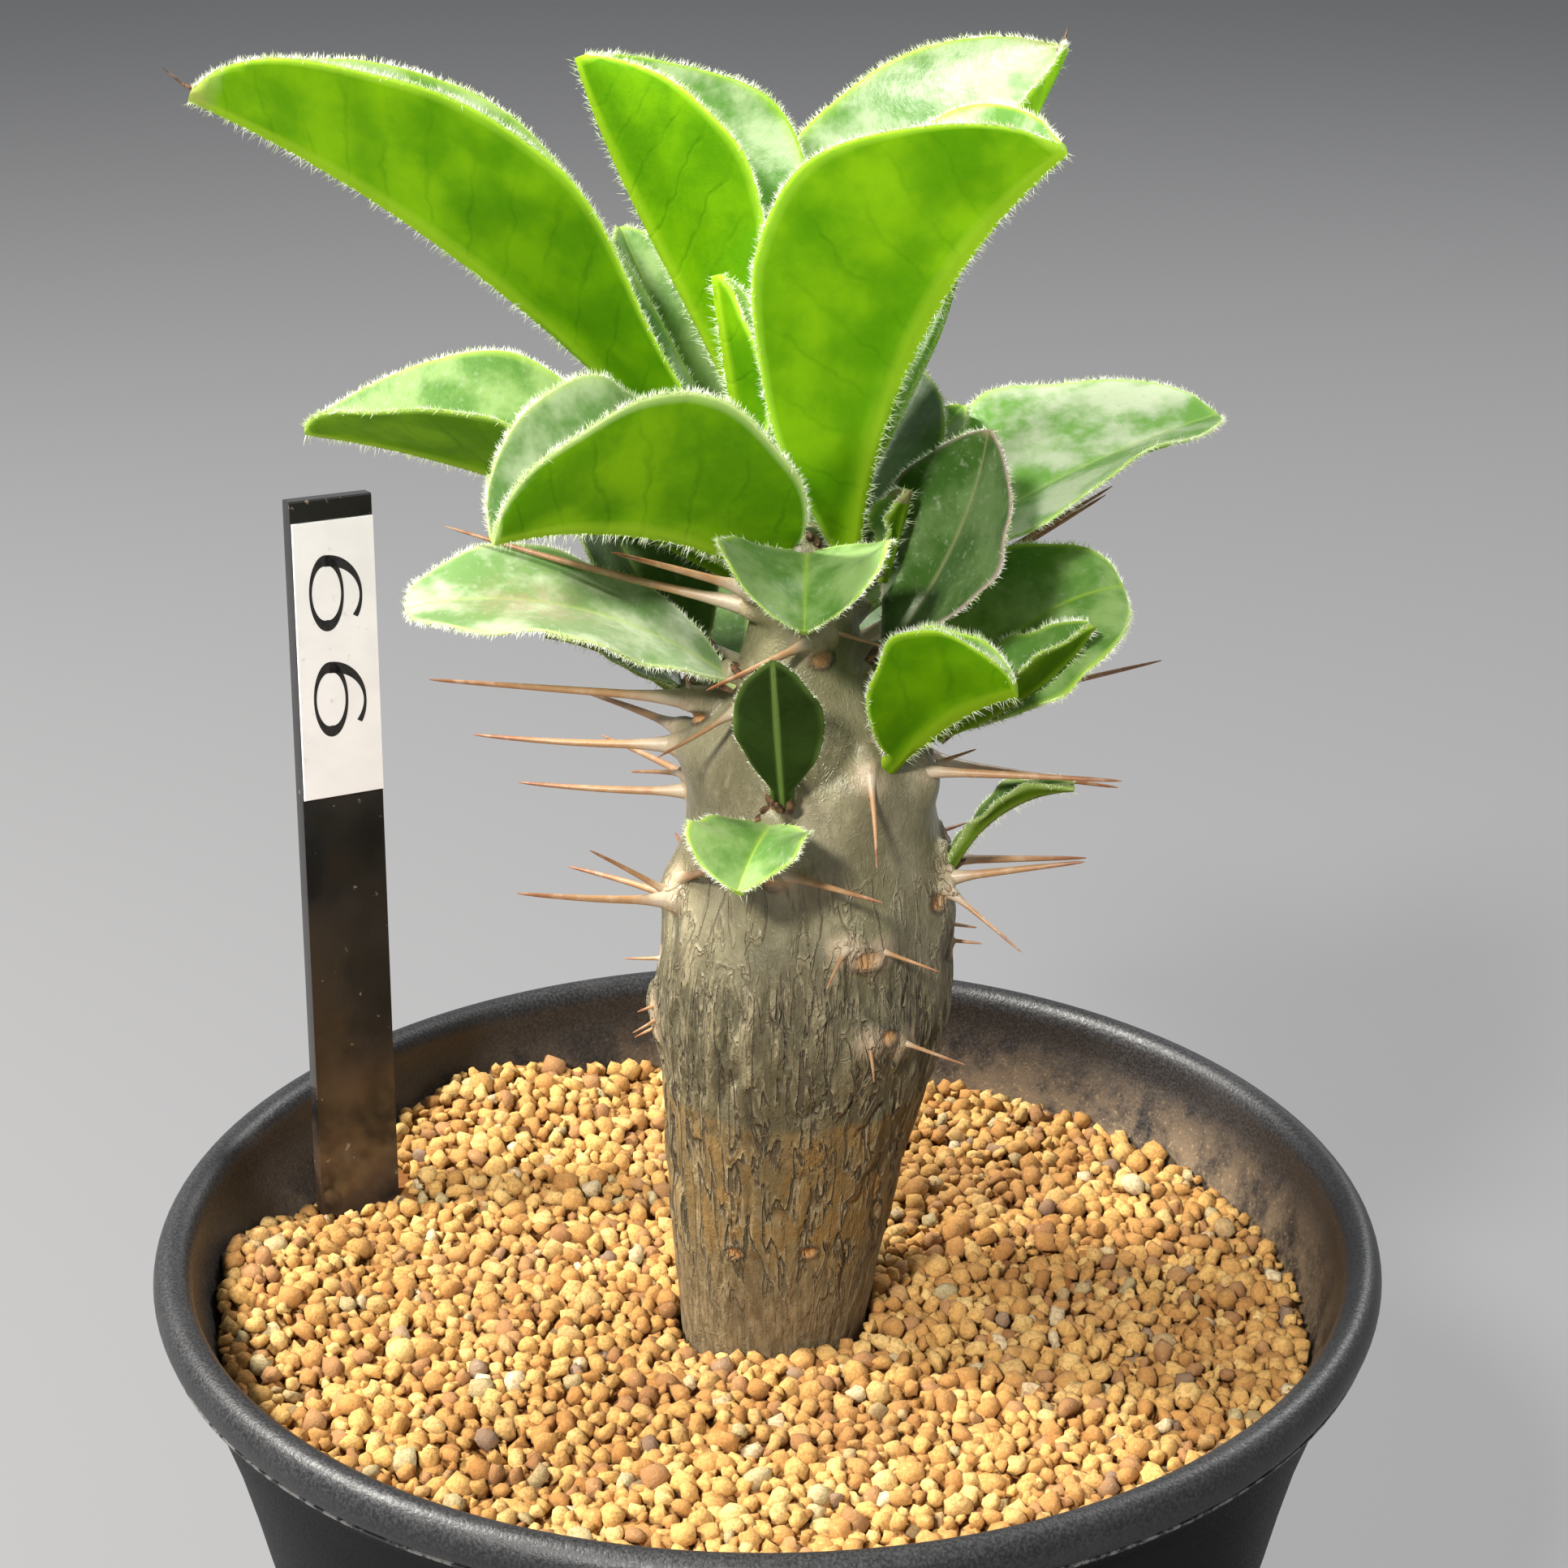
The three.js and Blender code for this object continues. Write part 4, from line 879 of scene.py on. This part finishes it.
def leaf_finish(name, above, above_highlight, below, below_pale, edge, keel, vein, glow, shine, down):
    """A blade's material: six colours, the second one for painted highlights on the upper side,
    then how strong veins, passing light, gloss and down are.
    """
    leafy = Finish(name)
    under = leafy.stored("under")
    patch = leafy.cloud(7, 4, 0.6)
    fine = leafy.cloud(0.9, 4, 0.65)
    # Paler patches on the upper side: painted highlights standing for gloss.
    upper = leafy.blend(leafy.ramp(patch, 0.38, 0.62), above, above_highlight)
    upper = leafy.blend(leafy.ramp(fine, 0.55, 0.72, 0, down), upper, (0.46, 0.52, 0.36))
    lower = leafy.blend(leafy.ramp(patch, 0.38, 0.68), below, below_pale)
    lower = leafy.blend(leafy.ramp(fine, 0.35, 0.7, 0, 0.25), lower, below_pale)
    ripple = leafy.times(leafy.sum("SUBTRACT", leafy.cloud(6, 3), 0.5), 0.9)
    phase = leafy.sum("PINGPONG", leafy.sum("ADD", leafy.stored("vein"), ripple), 0.5)
    veins = leafy.times(leafy.ramp(phase, 0.09, 0.0), leafy.stored("blade"))
    veins = leafy.times(veins, leafy.ramp(leafy.cloud(8, 2), 0.35, 0.6, 0.25, 1))
    darker = leafy.blend(1.0, lower, (0.62, 0.74, 0.50), "MULTIPLY")
    lower = leafy.blend(leafy.times(veins, vein), lower, darker)
    paler = leafy.blend(0.35, upper, edge)
    upper = leafy.blend(leafy.times(veins, 0.12), upper, paler)
    pale_rib = leafy.blend(0.5, edge, keel)
    thin_rib = leafy.sum("POWER", leafy.stored("rib"), 3)
    upper = leafy.blend(leafy.times(thin_rib, 0.6), upper, pale_rib)
    lower = leafy.blend(leafy.times(leafy.stored("rib"), 0.85), lower, keel)
    tone = leafy.blend(under, upper, lower)
    tone = leafy.blend(leafy.stored("edge"), tone, edge)
    worn = leafy.times(leafy.stored("dry"), leafy.ramp(leafy.cloud(2.2, 4, 0.65), 0.36, 0.6, 0.3, 1))
    tone = leafy.blend(worn, tone, (0.42, 0.33, 0.19))
    pits = leafy.bump(fine, 0.06)
    relief = leafy.bump(leafy.times(veins, under), -0.03, pits)
    rough = leafy.sum("ADD", leafy.ramp(under, 0, 1, shine, 0.62), leafy.ramp(fine, 0.3, 0.7, -0.05, 0.08))
    leafy.set(Base_Color=tone, Roughness=rough, Normal=relief)
    leafy.set(Specular_IOR_Level=leafy.ramp(under, 0, 1, 0.55, 0.10))
    leafy.set(Sheen_Weight=leafy.ramp(under, 0, 1, 0.08 + 0.5 * down, 0), Sheen_Roughness=0.45)
    leafy.set(Sheen_Tint=(0.9, 0.95, 0.75, 1))
    through = leafy.node("ShaderNodeBsdfTranslucent", {"Normal": relief})
    brighter = leafy.node("ShaderNodeGamma", {"Color": tone, "Gamma": 0.62})
    leafy.put(through.inputs["Color"], brighter.outputs[0])
    mixed = leafy.node("ShaderNodeMixShader", {"Fac": glow})
    leafy.put(mixed.inputs[1], leafy.shader.outputs[0])
    leafy.put(mixed.inputs[2], through.outputs[0])
    leafy.put(leafy.output.inputs["Surface"], mixed.outputs[0])
    return leafy.material


# The second colour of each kind is the paler patch colour, a painted highlight of gloss.
LEAF_COLOURS = {
    "young": ((0.19, 0.41, 0.09), (0.72, 0.84, 0.58), (0.10, 0.29, 0.001), (0.18, 0.40, 0.001),
              (0.52, 0.80, 0.05), (0.40, 0.62, 0.02), 0.6, 0.55, 0.30, 0.3),
    "mid": ((0.12, 0.28, 0.045), (0.33, 0.50, 0.17), (0.09, 0.21, 0.002), (0.15, 0.30, 0.003),
            (0.46, 0.68, 0.10), (0.34, 0.50, 0.03), 0.5, 0.40, 0.34, 0.35),
    "dark": ((0.045, 0.115, 0.016), (0.10, 0.195, 0.042), (0.075, 0.15, 0.004), (0.11, 0.20, 0.006),
             (0.33, 0.45, 0.12), (0.24, 0.34, 0.05), 0.5, 0.26, 0.36, 0.25),
    # A lighter copy of the young finish for leaf 17: painted light, as if it stood in full light.
    "bright": ((0.27, 0.56, 0.12), (0.92, 0.97, 0.80), (0.10, 0.29, 0.001), (0.18, 0.40, 0.001),
               (0.62, 0.86, 0.22), (0.62, 0.80, 0.30), 0.6, 0.55, 0.26, 0.3),
    "mauve": ((0.045, 0.115, 0.016), (0.13, 0.22, 0.07), (0.075, 0.15, 0.004), (0.11, 0.20, 0.006),
              (0.40, 0.30, 0.27), (0.24, 0.34, 0.05), 0.5, 0.26, 0.32, 0.35),
    # Near-black greens for leaf 21, which sits under other leaves: painted shade on a glossy blade.
    "glossy": ((0.018, 0.048, 0.008), (0.032, 0.074, 0.014), (0.014, 0.032, 0.003), (0.024, 0.050, 0.006),
               (0.07, 0.12, 0.02), (0.15, 0.23, 0.05), 0.3, 0.06, 0.30, 0.1),
    "downy": ((0.20, 0.38, 0.11), (0.66, 0.77, 0.52), (0.08, 0.23, 0.001), (0.15, 0.33, 0.001),
              (0.66, 0.80, 0.32), (0.40, 0.62, 0.02), 0.8, 0.42, 0.42, 0.9),
}
FINISHES = {kind: leaf_finish("leaf_" + kind, *row) for kind, row in LEAF_COLOURS.items()}
LEAF_KINDS = (
    "young young young young mid young mid downy downy dark dark mid mauve mid young "
    "mid bright dark mid mid glossy mid dark mid dark dark").split()


def leaf_rows(leaf):
    """Rows of a leaf from its base to its tip: frame, half widths and the point of each column."""
    rows = []
    shares = [-1.4 / leaf["length"], -0.6 / leaf["length"]]
    shares += list(np.linspace(0, 1, LEAF_ROWS + 1) ** 0.93)
    spot = np.array(leaf["base"]) + leaf_heading(leaf, 0) * (0.3 - 1.4)
    before = shares[0]
    for share in shares:
        spot = spot + leaf_heading(leaf, (share + before) / 2) * (share - before) * leaf["length"]
        before = share
        level = math.radians(leaf["head"] + leaf["turn"] * max(share, 0))
        level = np.array([-math.sin(level), math.cos(level), 0])
        forward = leaf_heading(leaf, share)
        top = np.cross(forward, level)
        roll = math.radians(leaf["roll"])
        left = level * math.cos(roll) + top * math.sin(roll)
        up = top * math.cos(roll) - level * math.sin(roll)
        open_share = min(max(share, 0), 1)
        outline = leaf["width"] / 2 * abs(math.sin(math.pi * open_share ** leaf["peak"])) ** leaf["blunt"]
        half = max(outline, 0.9 * (1 - open_share) + 0.25)
        rows.append((open_share, spot, left, up, outline, half, forward))
    return rows


def dryness(number, share, across):
    """How withered a leaf is at a place: a worn patch, a cut tip, or a dry end on three others."""
    if number == 8:
        return 0.8 * math.exp(-((share - 0.62) / 0.2) ** 2 - ((across - 0.15) / 0.5) ** 2)
    if number == 19:
        return float(share > 0.84)
    if number in (0, 2, 12):
        return 0.8 * min(max((share - 0.965) / 0.03, 0), 1)
    return 0


def leaf_mesh(leaf, number):
    """Points, faces and stored values of one closed blade, and its margin and keel lines."""
    points = []
    values = {key: [] for key in ("under", "edge", "rib", "vein", "blade", "side", "dry")}
    margins = []
    keel = []
    columns = 2 * HALF_COLUMNS + 1
    for share, spot, left, up, outline, half, forward in leaf_rows(leaf):
        opening = min(1, 0.35 + 1.2 * share)
        upper = []
        lower = []
        rib = leaf["rib"] * ((0.5 + 0.014 * leaf["width"]) * (1 - share) ** 0.8 + 0.08)
        rim = []
        for side in (1, -1):
            fold = leaf["fold"] if side > 0 or leaf["fold2"] is None else leaf["fold2"]
            reach = half * (1 + side * leaf["skew"])
            across = 0
            raised = 0
            half_upper = []
            half_lower = []
            part = 0
            for k in range(HALF_COLUMNS + 1):
                before = part
                part = (1 - math.cos(math.pi * k / HALF_COLUMNS)) / 2
                angle = math.radians((fold + leaf["cup"] * (part + before - 1)) * opening)
                across += math.cos(angle) * reach * (part - before)
                raised += math.sin(angle) * reach * (part - before)
                ripple = leaf["wave"] * outline / leaf["width"] * 2 * part ** 2
                ripple *= math.sin(4 * math.pi * share + side)
                flutter = math.sin(26 * share + 2 * side + number)
                ripple += 0.2 * part ** 3 * outline / leaf["width"] * 2 * flutter
                point = spot + left * side * across + up * (raised + ripple)
                thick = LEAF_THICKNESS * (1 - 0.5 * part ** 4)
                bulge = rib * math.exp(-(part * reach / (0.5 + 0.022 * leaf["width"] * (1 - share))) ** 2)
                if k == 0:
                    below = point - up * (LEAF_THICKNESS / max(math.cos(angle), 0.6) + bulge)
                else:
                    normal = up * math.cos(angle) - left * side * math.sin(angle)
                    below = point - normal * (thick + bulge)
                half_upper.append((point, part, part * reach, side))
                half_lower.append((below, part, part * reach, side))
                outward = left * side * math.cos(angle) + up * math.sin(angle)
            edge = (half_upper[-1][0] + half_lower[-1][0]) / 2 + outward * MARGIN_BULGE
            rim.append((edge, outward, side, reach))
            if side > 0:
                upper += half_upper[::-1]
                lower += half_lower[::-1]
            else:
                upper += half_upper[1:]
                lower += half_lower[1:]
        loop = upper + [(rim[1][0], 1, rim[1][3], -1)] + lower[::-1] + [(rim[0][0], 1, rim[0][3], 1)]
        for n, (point, part, distance, side) in enumerate(loop):
            points.append(point)
            below = 0.5 if n in (columns, len(loop) - 1) else float(n > columns)
            values["under"].append(below)
            reach = half * (1 + side * leaf["skew"])
            values["edge"].append(float(np.clip(1 - (reach - distance) / MARGIN_WIDTH, 0, 1)))
            wide = (0.28 + 0.022 * leaf["width"] * (1 - share)) * min(leaf["rib"] + 0.2, 1)
            values["rib"].append(math.exp(-(distance / wide) ** 2))
            values["dry"].append(dryness(number, share, side * part))
            offset = 0.5 if side > 0 else 0
            values["vein"].append((share * leaf["length"] - distance * VEIN_SLANT) / VEIN_SPACING + offset)
            values["blade"].append(float(np.clip((reach - distance) / (0.22 * reach + 0.3), 0, 1)))
            values["side"].append(side)
        margins.append((share, rim[0][0], rim[0][1], rim[1][0], rim[1][1], forward, up, half))
        keel.append((share, lower[HALF_COLUMNS][0], -up, forward, left))
    around = 2 * columns + 2
    faces = []
    rows = len(points) // around
    for i in range(rows - 1):
        faces += band(i * around, (i + 1) * around, around)
    for j in range(columns - 1):
        a = j
        b = around - 2 - j
        faces.append((b, b - 1, a + 1, a))
        base = (rows - 1) * around
        faces.append((base + a, base + a + 1, base + b - 1, base + b))
    faces.append((around - 1, around - 2, 0))
    faces.append((columns, columns - 1, columns + 1))
    base = (rows - 1) * around
    faces.append((base, base + around - 2, base + around - 1))
    faces.append((base + columns + 1, base + columns - 1, base + columns))
    return points, faces, values, margins, keel


margin_lines = []
keel_lines = []
for number, leaf in enumerate(LEAVES):
    points, faces, values, margins, keel = leaf_mesh(leaf, number)
    name = "leaf_%02d" % (number + 1)
    blade = add_mesh(name + "_blade", points, faces, FINISHES[LEAF_KINDS[number]], 70)
    set_values(blade.data, **values)
    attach(blade, "root")
    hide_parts(name)
    margin_lines.append(margins)
    keel_lines.append(keel)

# Dry scales. Small withered brown scales stay at the foot of the lower leaves, and a dry point
# ends leaves 1 and 3. All of it is dead leaf tissue that grew on the plant.
husk = Finish("dry_scale")
dead = husk.blend(husk.ramp(husk.cloud(0.9, 3), 0.4, 0.65), (0.050, 0.022, 0.010), (0.20, 0.105, 0.050))
husk.set(Base_Color=dead, Roughness=0.7, Normal=husk.bump(husk.cloud(0.3, 3), 0.06))
SCALED_LEAVES = (8, 9, 10, 11, 12, 13, 14, 15, 20, 21, 22)
SCALES_A_LEAF = 4
POINTED_LEAVES = ((0, 3.4), (2, 2.0))
draws = np.random.default_rng(23)
points = []
faces = []
for number in SCALED_LEAVES:
    leaf = LEAVES[number]
    ahead = leaf_heading(leaf, 0)
    foot = np.array(leaf["base"]) - ahead * 0.6
    for _ in range(SCALES_A_LEAF):
        aside = np.cross(ahead, draws.normal(size=3))
        aside /= np.linalg.norm(aside)
        start = foot + aside * 1.0
        end = start + ahead * draws.uniform(0.8, 1.8) + aside * draws.uniform(0.3, 1.0)
        path = [start - ahead * 0.5, (start + end) / 2 + aside * 0.1, end]
        added(points, faces, *tube(path, [0.5, 0.42, 0.06], 7))
for number, length in POINTED_LEAVES:
    share, left_rim, _, right_rim, _, ahead, up, _ = margin_lines[number][-1]
    start = (left_rim + right_rim) / 2
    end = start + ahead * length + up * 0.22 * length
    path = [start - ahead * 0.8, start + ahead * 0.3 * length, end]
    added(points, faces, *tube(path, [0.34, 0.17, 0.04], 7))
scales = add_mesh("dry_scales", points, faces, husk.material, 60)
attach(scales, "root")
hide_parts("leaf_01")

# Hairs. Short stiff pale hairs that grow on the margin of every blade and along its keel below,
# denser and longer on the young leaves.
fuzz = Finish("leaf_hairs")
pale = fuzz.blend(fuzz.ramp(fuzz.cloud(3, 2), 0.4, 0.6), (0.70, 0.80, 0.46), (0.90, 0.92, 0.80))
fuzz.set(Base_Color=pale, Roughness=0.5)


def hair_tree(name, finish):
    """Stands a thin cone on every point."""
    growth = Growth(name, {"Root radius": 0.000045})
    inputs = {"Vertices": 3, "Radius Top": 0, "Radius Bottom": growth.given["Root radius"], "Depth": 1}
    return growth.coated(growth.planted(growth.out("GeometryNodeMeshCone", inputs)), finish)


def turned_to(ways):
    """Euler angles that turn the Z axis to each way."""
    ways = ways / np.linalg.norm(ways, axis=1)[:, None]
    tilt = np.arccos(np.clip(ways[:, 2], -1, 1))
    return np.column_stack([0 * tilt, tilt, np.arctan2(ways[:, 1], ways[:, 0])])


def sampled(draws, first, second, spacing):
    """Random shares between two points, about one every spacing millimetres."""
    length = np.linalg.norm(second - first)
    return draws.random(draws.poisson(length / spacing))


LUSHNESS = {"bright": 1.35, "young": 1.35, "downy": 1.5, "mid": 1.2, "dark": 0.9, "mauve": 1.0,
            "glossy": 0.3}
MARGIN_SPACING = 0.065
KEEL_SPACING = 0.17
MARGIN_LENGTHS = (0.35, 1.0)
KEEL_LENGTHS = (0.5, 1.3)
draws = np.random.default_rng(3)
roots = []
ways = []
lengths = []
for number, (margins, keel) in enumerate(zip(margin_lines, keel_lines)):
    lush = LUSHNESS[LEAF_KINDS[number]]
    for low, high in zip(margins[2:], margins[3:]):
        for place, outward in ((1, 2), (3, 4)):
            for share in sampled(draws, low[place], high[place], MARGIN_SPACING / lush):
                root = low[place] + (high[place] - low[place]) * share
                way = low[outward] + 0.35 * low[5] + 0.30 * low[6] * draws.normal()
                way = way + 0.45 * draws.normal(size=3)
                roots.append(root - low[outward] * 0.12)
                ways.append(way)
                lengths.append(draws.uniform(*MARGIN_LENGTHS) * (0.6 + 0.3 * lush))
    if LEAVES[number]["rib"] < 1:
        continue
    for low, high in zip(keel[3:], keel[4:]):
        for share in sampled(draws, low[1], high[1], KEEL_SPACING / lush):
            spot = low[1] + (high[1] - low[1]) * share + low[4] * draws.normal() * 0.35
            roots.append(spot - low[2] * 0.15)
            ways.append(low[2] + 0.45 * low[3] + 0.5 * draws.normal(size=3))
            lengths.append(draws.uniform(*KEEL_LENGTHS) * (0.6 + 0.3 * lush))
sizes = np.column_stack([np.ones(len(roots)), np.ones(len(roots)), np.array(lengths) / 1000])
tree = hair_tree("bristles", fuzz.material)
vectors = {"turn": turned_to(np.array(ways)), "size": sizes}
grown("leaf_hairs", roots, vectors, {}, tree, "leaf_01")

# Number tag. A flat black acrylic strip with a pointed foot, pushed into the grit at the left and
# leaning back. A white tape with two plain figures that read from top to foot is stuck on it.
TAG_CORNER = np.array([-53, 28, 191.8])
TAG_DEPTH = 2.0
TAG_TOP = 191.8
TAG_SHOULDER = 102
TAG_POINT = 92
TAG_LEAN = math.radians(-3.7)
TAG_BEVEL = 0.18


def on_tag(across, back, height):
    """A place on the tag: across from its left edge, back from its face, height as if upright."""
    x = across * math.cos(TAG_TURN) - back * math.sin(TAG_TURN)
    y = across * math.sin(TAG_TURN) + back * math.cos(TAG_TURN)
    z = height - TAG_TOP
    ahead = y * math.cos(TAG_LEAN) - z * math.sin(TAG_LEAN)
    return TAG_CORNER + (x, ahead, y * math.sin(TAG_LEAN) + z * math.cos(TAG_LEAN))


def slab(outline, front, back, rounding):
    """A plate from an outline of across and height, with its edges eased by a small bevel."""
    outline = np.array(outline, dtype=float)
    middle = outline.mean(axis=0)
    shrunk = outline + (middle - outline) / np.linalg.norm(middle - outline, axis=1)[:, None] * rounding
    loops = [(shrunk, front), (outline, front + rounding), (outline, back - rounding), (shrunk, back)]
    points = [on_tag(x, depth, z) for loop, depth in loops for x, z in loop]
    count = len(outline)
    faces = [tuple(range(count)), tuple(reversed(range(3 * count, 4 * count)))]
    for i in range(3):
        for j in range(count):
            k = (j + 1) % count
            faces.append((i * count + k, i * count + j, (i + 1) * count + j, (i + 1) * count + k))
    return points, faces


acrylic = Finish("black_acrylic")
smear = acrylic.ramp(acrylic.cloud(14, 3), 0.35, 0.7)
tag_tone = acrylic.blend(smear, (0.008, 0.008, 0.008), (0.018, 0.017, 0.016))
height = acrylic.node("ShaderNodeSeparateXYZ", {"Vector": acrylic.place()}).outputs["Z"]
# Near the foot the black is painted brown in patches: a painted reflection of the grit.
low = acrylic.ramp(height, 0.134, 0.108, 0, 0.6)
film_and_painted_light = acrylic.times(low, acrylic.ramp(acrylic.cloud(7, 4), 0.3, 0.65))
tag_tone = acrylic.blend(film_and_painted_light, tag_tone, (0.105, 0.062, 0.036))
grit_spots = acrylic.ramp(acrylic.cloud(1.1, 3), 0.70, 0.74, 0, 0.5)
tag_tone = acrylic.blend(grit_spots, tag_tone, (0.30, 0.24, 0.18))
gloss = acrylic.ramp(smear, 0, 1, 0.10, 0.22)
acrylic.set(Base_Color=tag_tone, Roughness=gloss, Normal=acrylic.bump(smear, 0.05))
outline = [(0, TAG_SHOULDER), (TAG_WIDTH / 2, TAG_POINT), (TAG_WIDTH, TAG_SHOULDER),
           (TAG_WIDTH, TAG_TOP), (0, TAG_TOP)]
tag = add_mesh("tag_plate", *slab(outline, 0, TAG_DEPTH, TAG_BEVEL), acrylic.material, 25)
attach(tag, "root")
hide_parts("tag")

white = Finish("white_tape")
paper = white.blend(white.ramp(white.cloud(6, 4), 0.35, 0.7), (0.84, 0.82, 0.82), (0.90, 0.88, 0.88))
paper = white.blend(white.ramp(white.cloud(1.2, 4), 0.66, 0.74, 0, 0.35), paper, (0.46, 0.40, 0.32))
white.set(Base_Color=paper, Roughness=0.45, Normal=white.bump(white.cloud(1.5, 3), 0.02))
TAPE_FRONT = -0.36
TAPE_LEFT = 0.12
TAPE_RIGHT = TAG_WIDTH - 0.05
TAPE_FOOT = 157.0
TAPE_TOP = 189.3
TAPE_BACK = 0.02
TAPE_BEVEL = 0.05
outline = [(TAPE_LEFT, TAPE_FOOT), (TAPE_RIGHT, TAPE_FOOT), (TAPE_RIGHT, TAPE_TOP), (TAPE_LEFT, TAPE_TOP)]
tape = add_mesh("tag_label", *slab(outline, TAPE_FRONT, TAPE_BACK, TAPE_BEVEL), white.material, 25)
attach(tape, "root")
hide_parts("tag_tape")

FIGURE_TALL = 6.6
FIGURE_WIDE = 9.0
FIGURE_HEIGHTS = (181.0, 168.6)


def stroke(middle_height, path, closed):
    """A thin raised line, thick where the figure's own line runs upright and fine elsewhere."""
    path = np.array(path, dtype=float)
    count = len(path)
    rows = []
    for i in range(count):
        ahead = path[(i + 1) % count if closed else min(i + 1, count - 1)]
        behind = path[(i - 1) % count if closed else max(i - 1, 0)]
        way = (ahead - behind) * (FIGURE_WIDE / 2, FIGURE_TALL / 2)
        way /= np.linalg.norm(way)
        wide = 0.16 + 0.50 * abs(way[1]) ** 1.6
        spot = path[i] * (FIGURE_WIDE / 2 - 0.6, FIGURE_TALL / 2 - 0.2)
        side = np.array([-way[1], way[0]])
        rows.append((spot + side * wide, spot - side * wide))
    points = []
    for depth in (TAPE_FRONT - 0.03, TAPE_FRONT + 0.01):
        for pair in rows:
            for x, y in pair:
                points.append(on_tag(TAG_WIDTH / 2 + y, depth, middle_height - x))
    faces = []
    deep = 2 * count
    for i in range(count if closed else count - 1):
        a = 2 * i
        b = 2 * ((i + 1) % count)
        faces += [(a, b, b + 1, a + 1), (deep + a, deep + a + 1, deep + b + 1, deep + b)]
        faces += [(a, deep + a, deep + b, b), (a + 1, b + 1, deep + b + 1, deep + a + 1)]
    if not closed:
        end = 2 * count - 2
        faces += [(0, 1, deep + 1, deep), (end, deep + end, deep + end + 1, end + 1)]
    return points, faces


ink = Finish("black_print")
black = ink.blend(ink.ramp(ink.cloud(0.8, 3), 0.3, 0.7), (0.010, 0.010, 0.012), (0.022, 0.022, 0.024))
ink.set(Base_Color=black, Roughness=0.5)
circle = np.radians(np.arange(0, 360, 6))
points = []
faces = []
bowl = [(0.96 * math.cos(a), -0.36 + 0.62 * math.sin(a)) for a in circle]
neck = [(0.13 + 1.09 * math.cos(a), -0.36 + 1.34 * math.sin(a)) for a in np.radians(np.arange(180, 50, -6))]
for middle_height in FIGURE_HEIGHTS:
    added(points, faces, *stroke(middle_height, bowl, True))
    added(points, faces, *stroke(middle_height, neck, False))
figures = add_mesh("tag_figures", points, faces, ink.material, 30)
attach(figures, "root")
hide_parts("tag_tape")

# Room. A plain pale floor, a key lamp high at the left, a second lamp at the front left, a weak
# one behind at the right, and the camera where the photograph was taken.
EYE_LENS = 74.53
EYE_PLACE = (0, -0.319, 0.294)
EYE_DOWN = 21.38
EYE_RIGHT = 0.32
ground = Finish("plain_floor")
ground.set(Base_Color=(0.172, 0.174, 0.182), Roughness=0.8)
floor = add_mesh("floor", [(-4000, -3000, 0), (4000, -3000, 0), (4000, 6000, 0), (-4000, 6000, 0)],
                 [(0, 1, 2, 3)], ground.material)
floor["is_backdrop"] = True


def lamp(name, place, target, size, watts, tint):
    """A round lamp of a size in metres, turned to a target."""
    light = bpy.data.lights.new(name, "AREA")
    light.shape = "DISK"
    light.size = size
    light.energy = watts
    light.color = tint
    holder = bpy.data.objects.new(name, light)
    holder.location = place
    holder.rotation_euler = (Vector(target) - Vector(place)).to_track_quat("-Z", "Y").to_euler()
    bpy.context.scene.collection.objects.link(holder)


lamp("key_lamp", (-0.76, 0.10, 1.05), (0, 0, 0.15), 0.20, 35, (1.0, 0.965, 0.90))
lamp("front_lamp", (-0.42, -0.98, 0.95), (0, 0, 0.10), 0.16, 22, (1.0, 0.97, 0.92))
lamp("rear_lamp", (0.75, 0.85, 1.0), (0, 0, 0.18), 0.3, 9, (1.0, 1.0, 0.98))
world = bpy.data.worlds.new("studio")
world.use_nodes = True
sky = world.node_tree.nodes["Background"]
sky.inputs["Color"].default_value = (0.93, 0.96, 1.0, 1)
sky.inputs["Strength"].default_value = 0.40
bpy.context.scene.world = world
bpy.context.scene.view_settings.view_transform = "Standard"

eye = bpy.data.cameras.new("eye")
eye.lens = EYE_LENS
eye.sensor_width = 36
camera = bpy.data.objects.new("eye", eye)
camera.location = EYE_PLACE
camera.rotation_euler = (math.radians(90 - EYE_DOWN), 0, math.radians(-EYE_RIGHT))
bpy.context.scene.collection.objects.link(camera)
bpy.context.scene.camera = camera

size_at_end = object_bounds()
sizes = {"frame": [list(corner) for corner in size_at_start],
         "scene": [list(corner) for corner in size_at_end]}
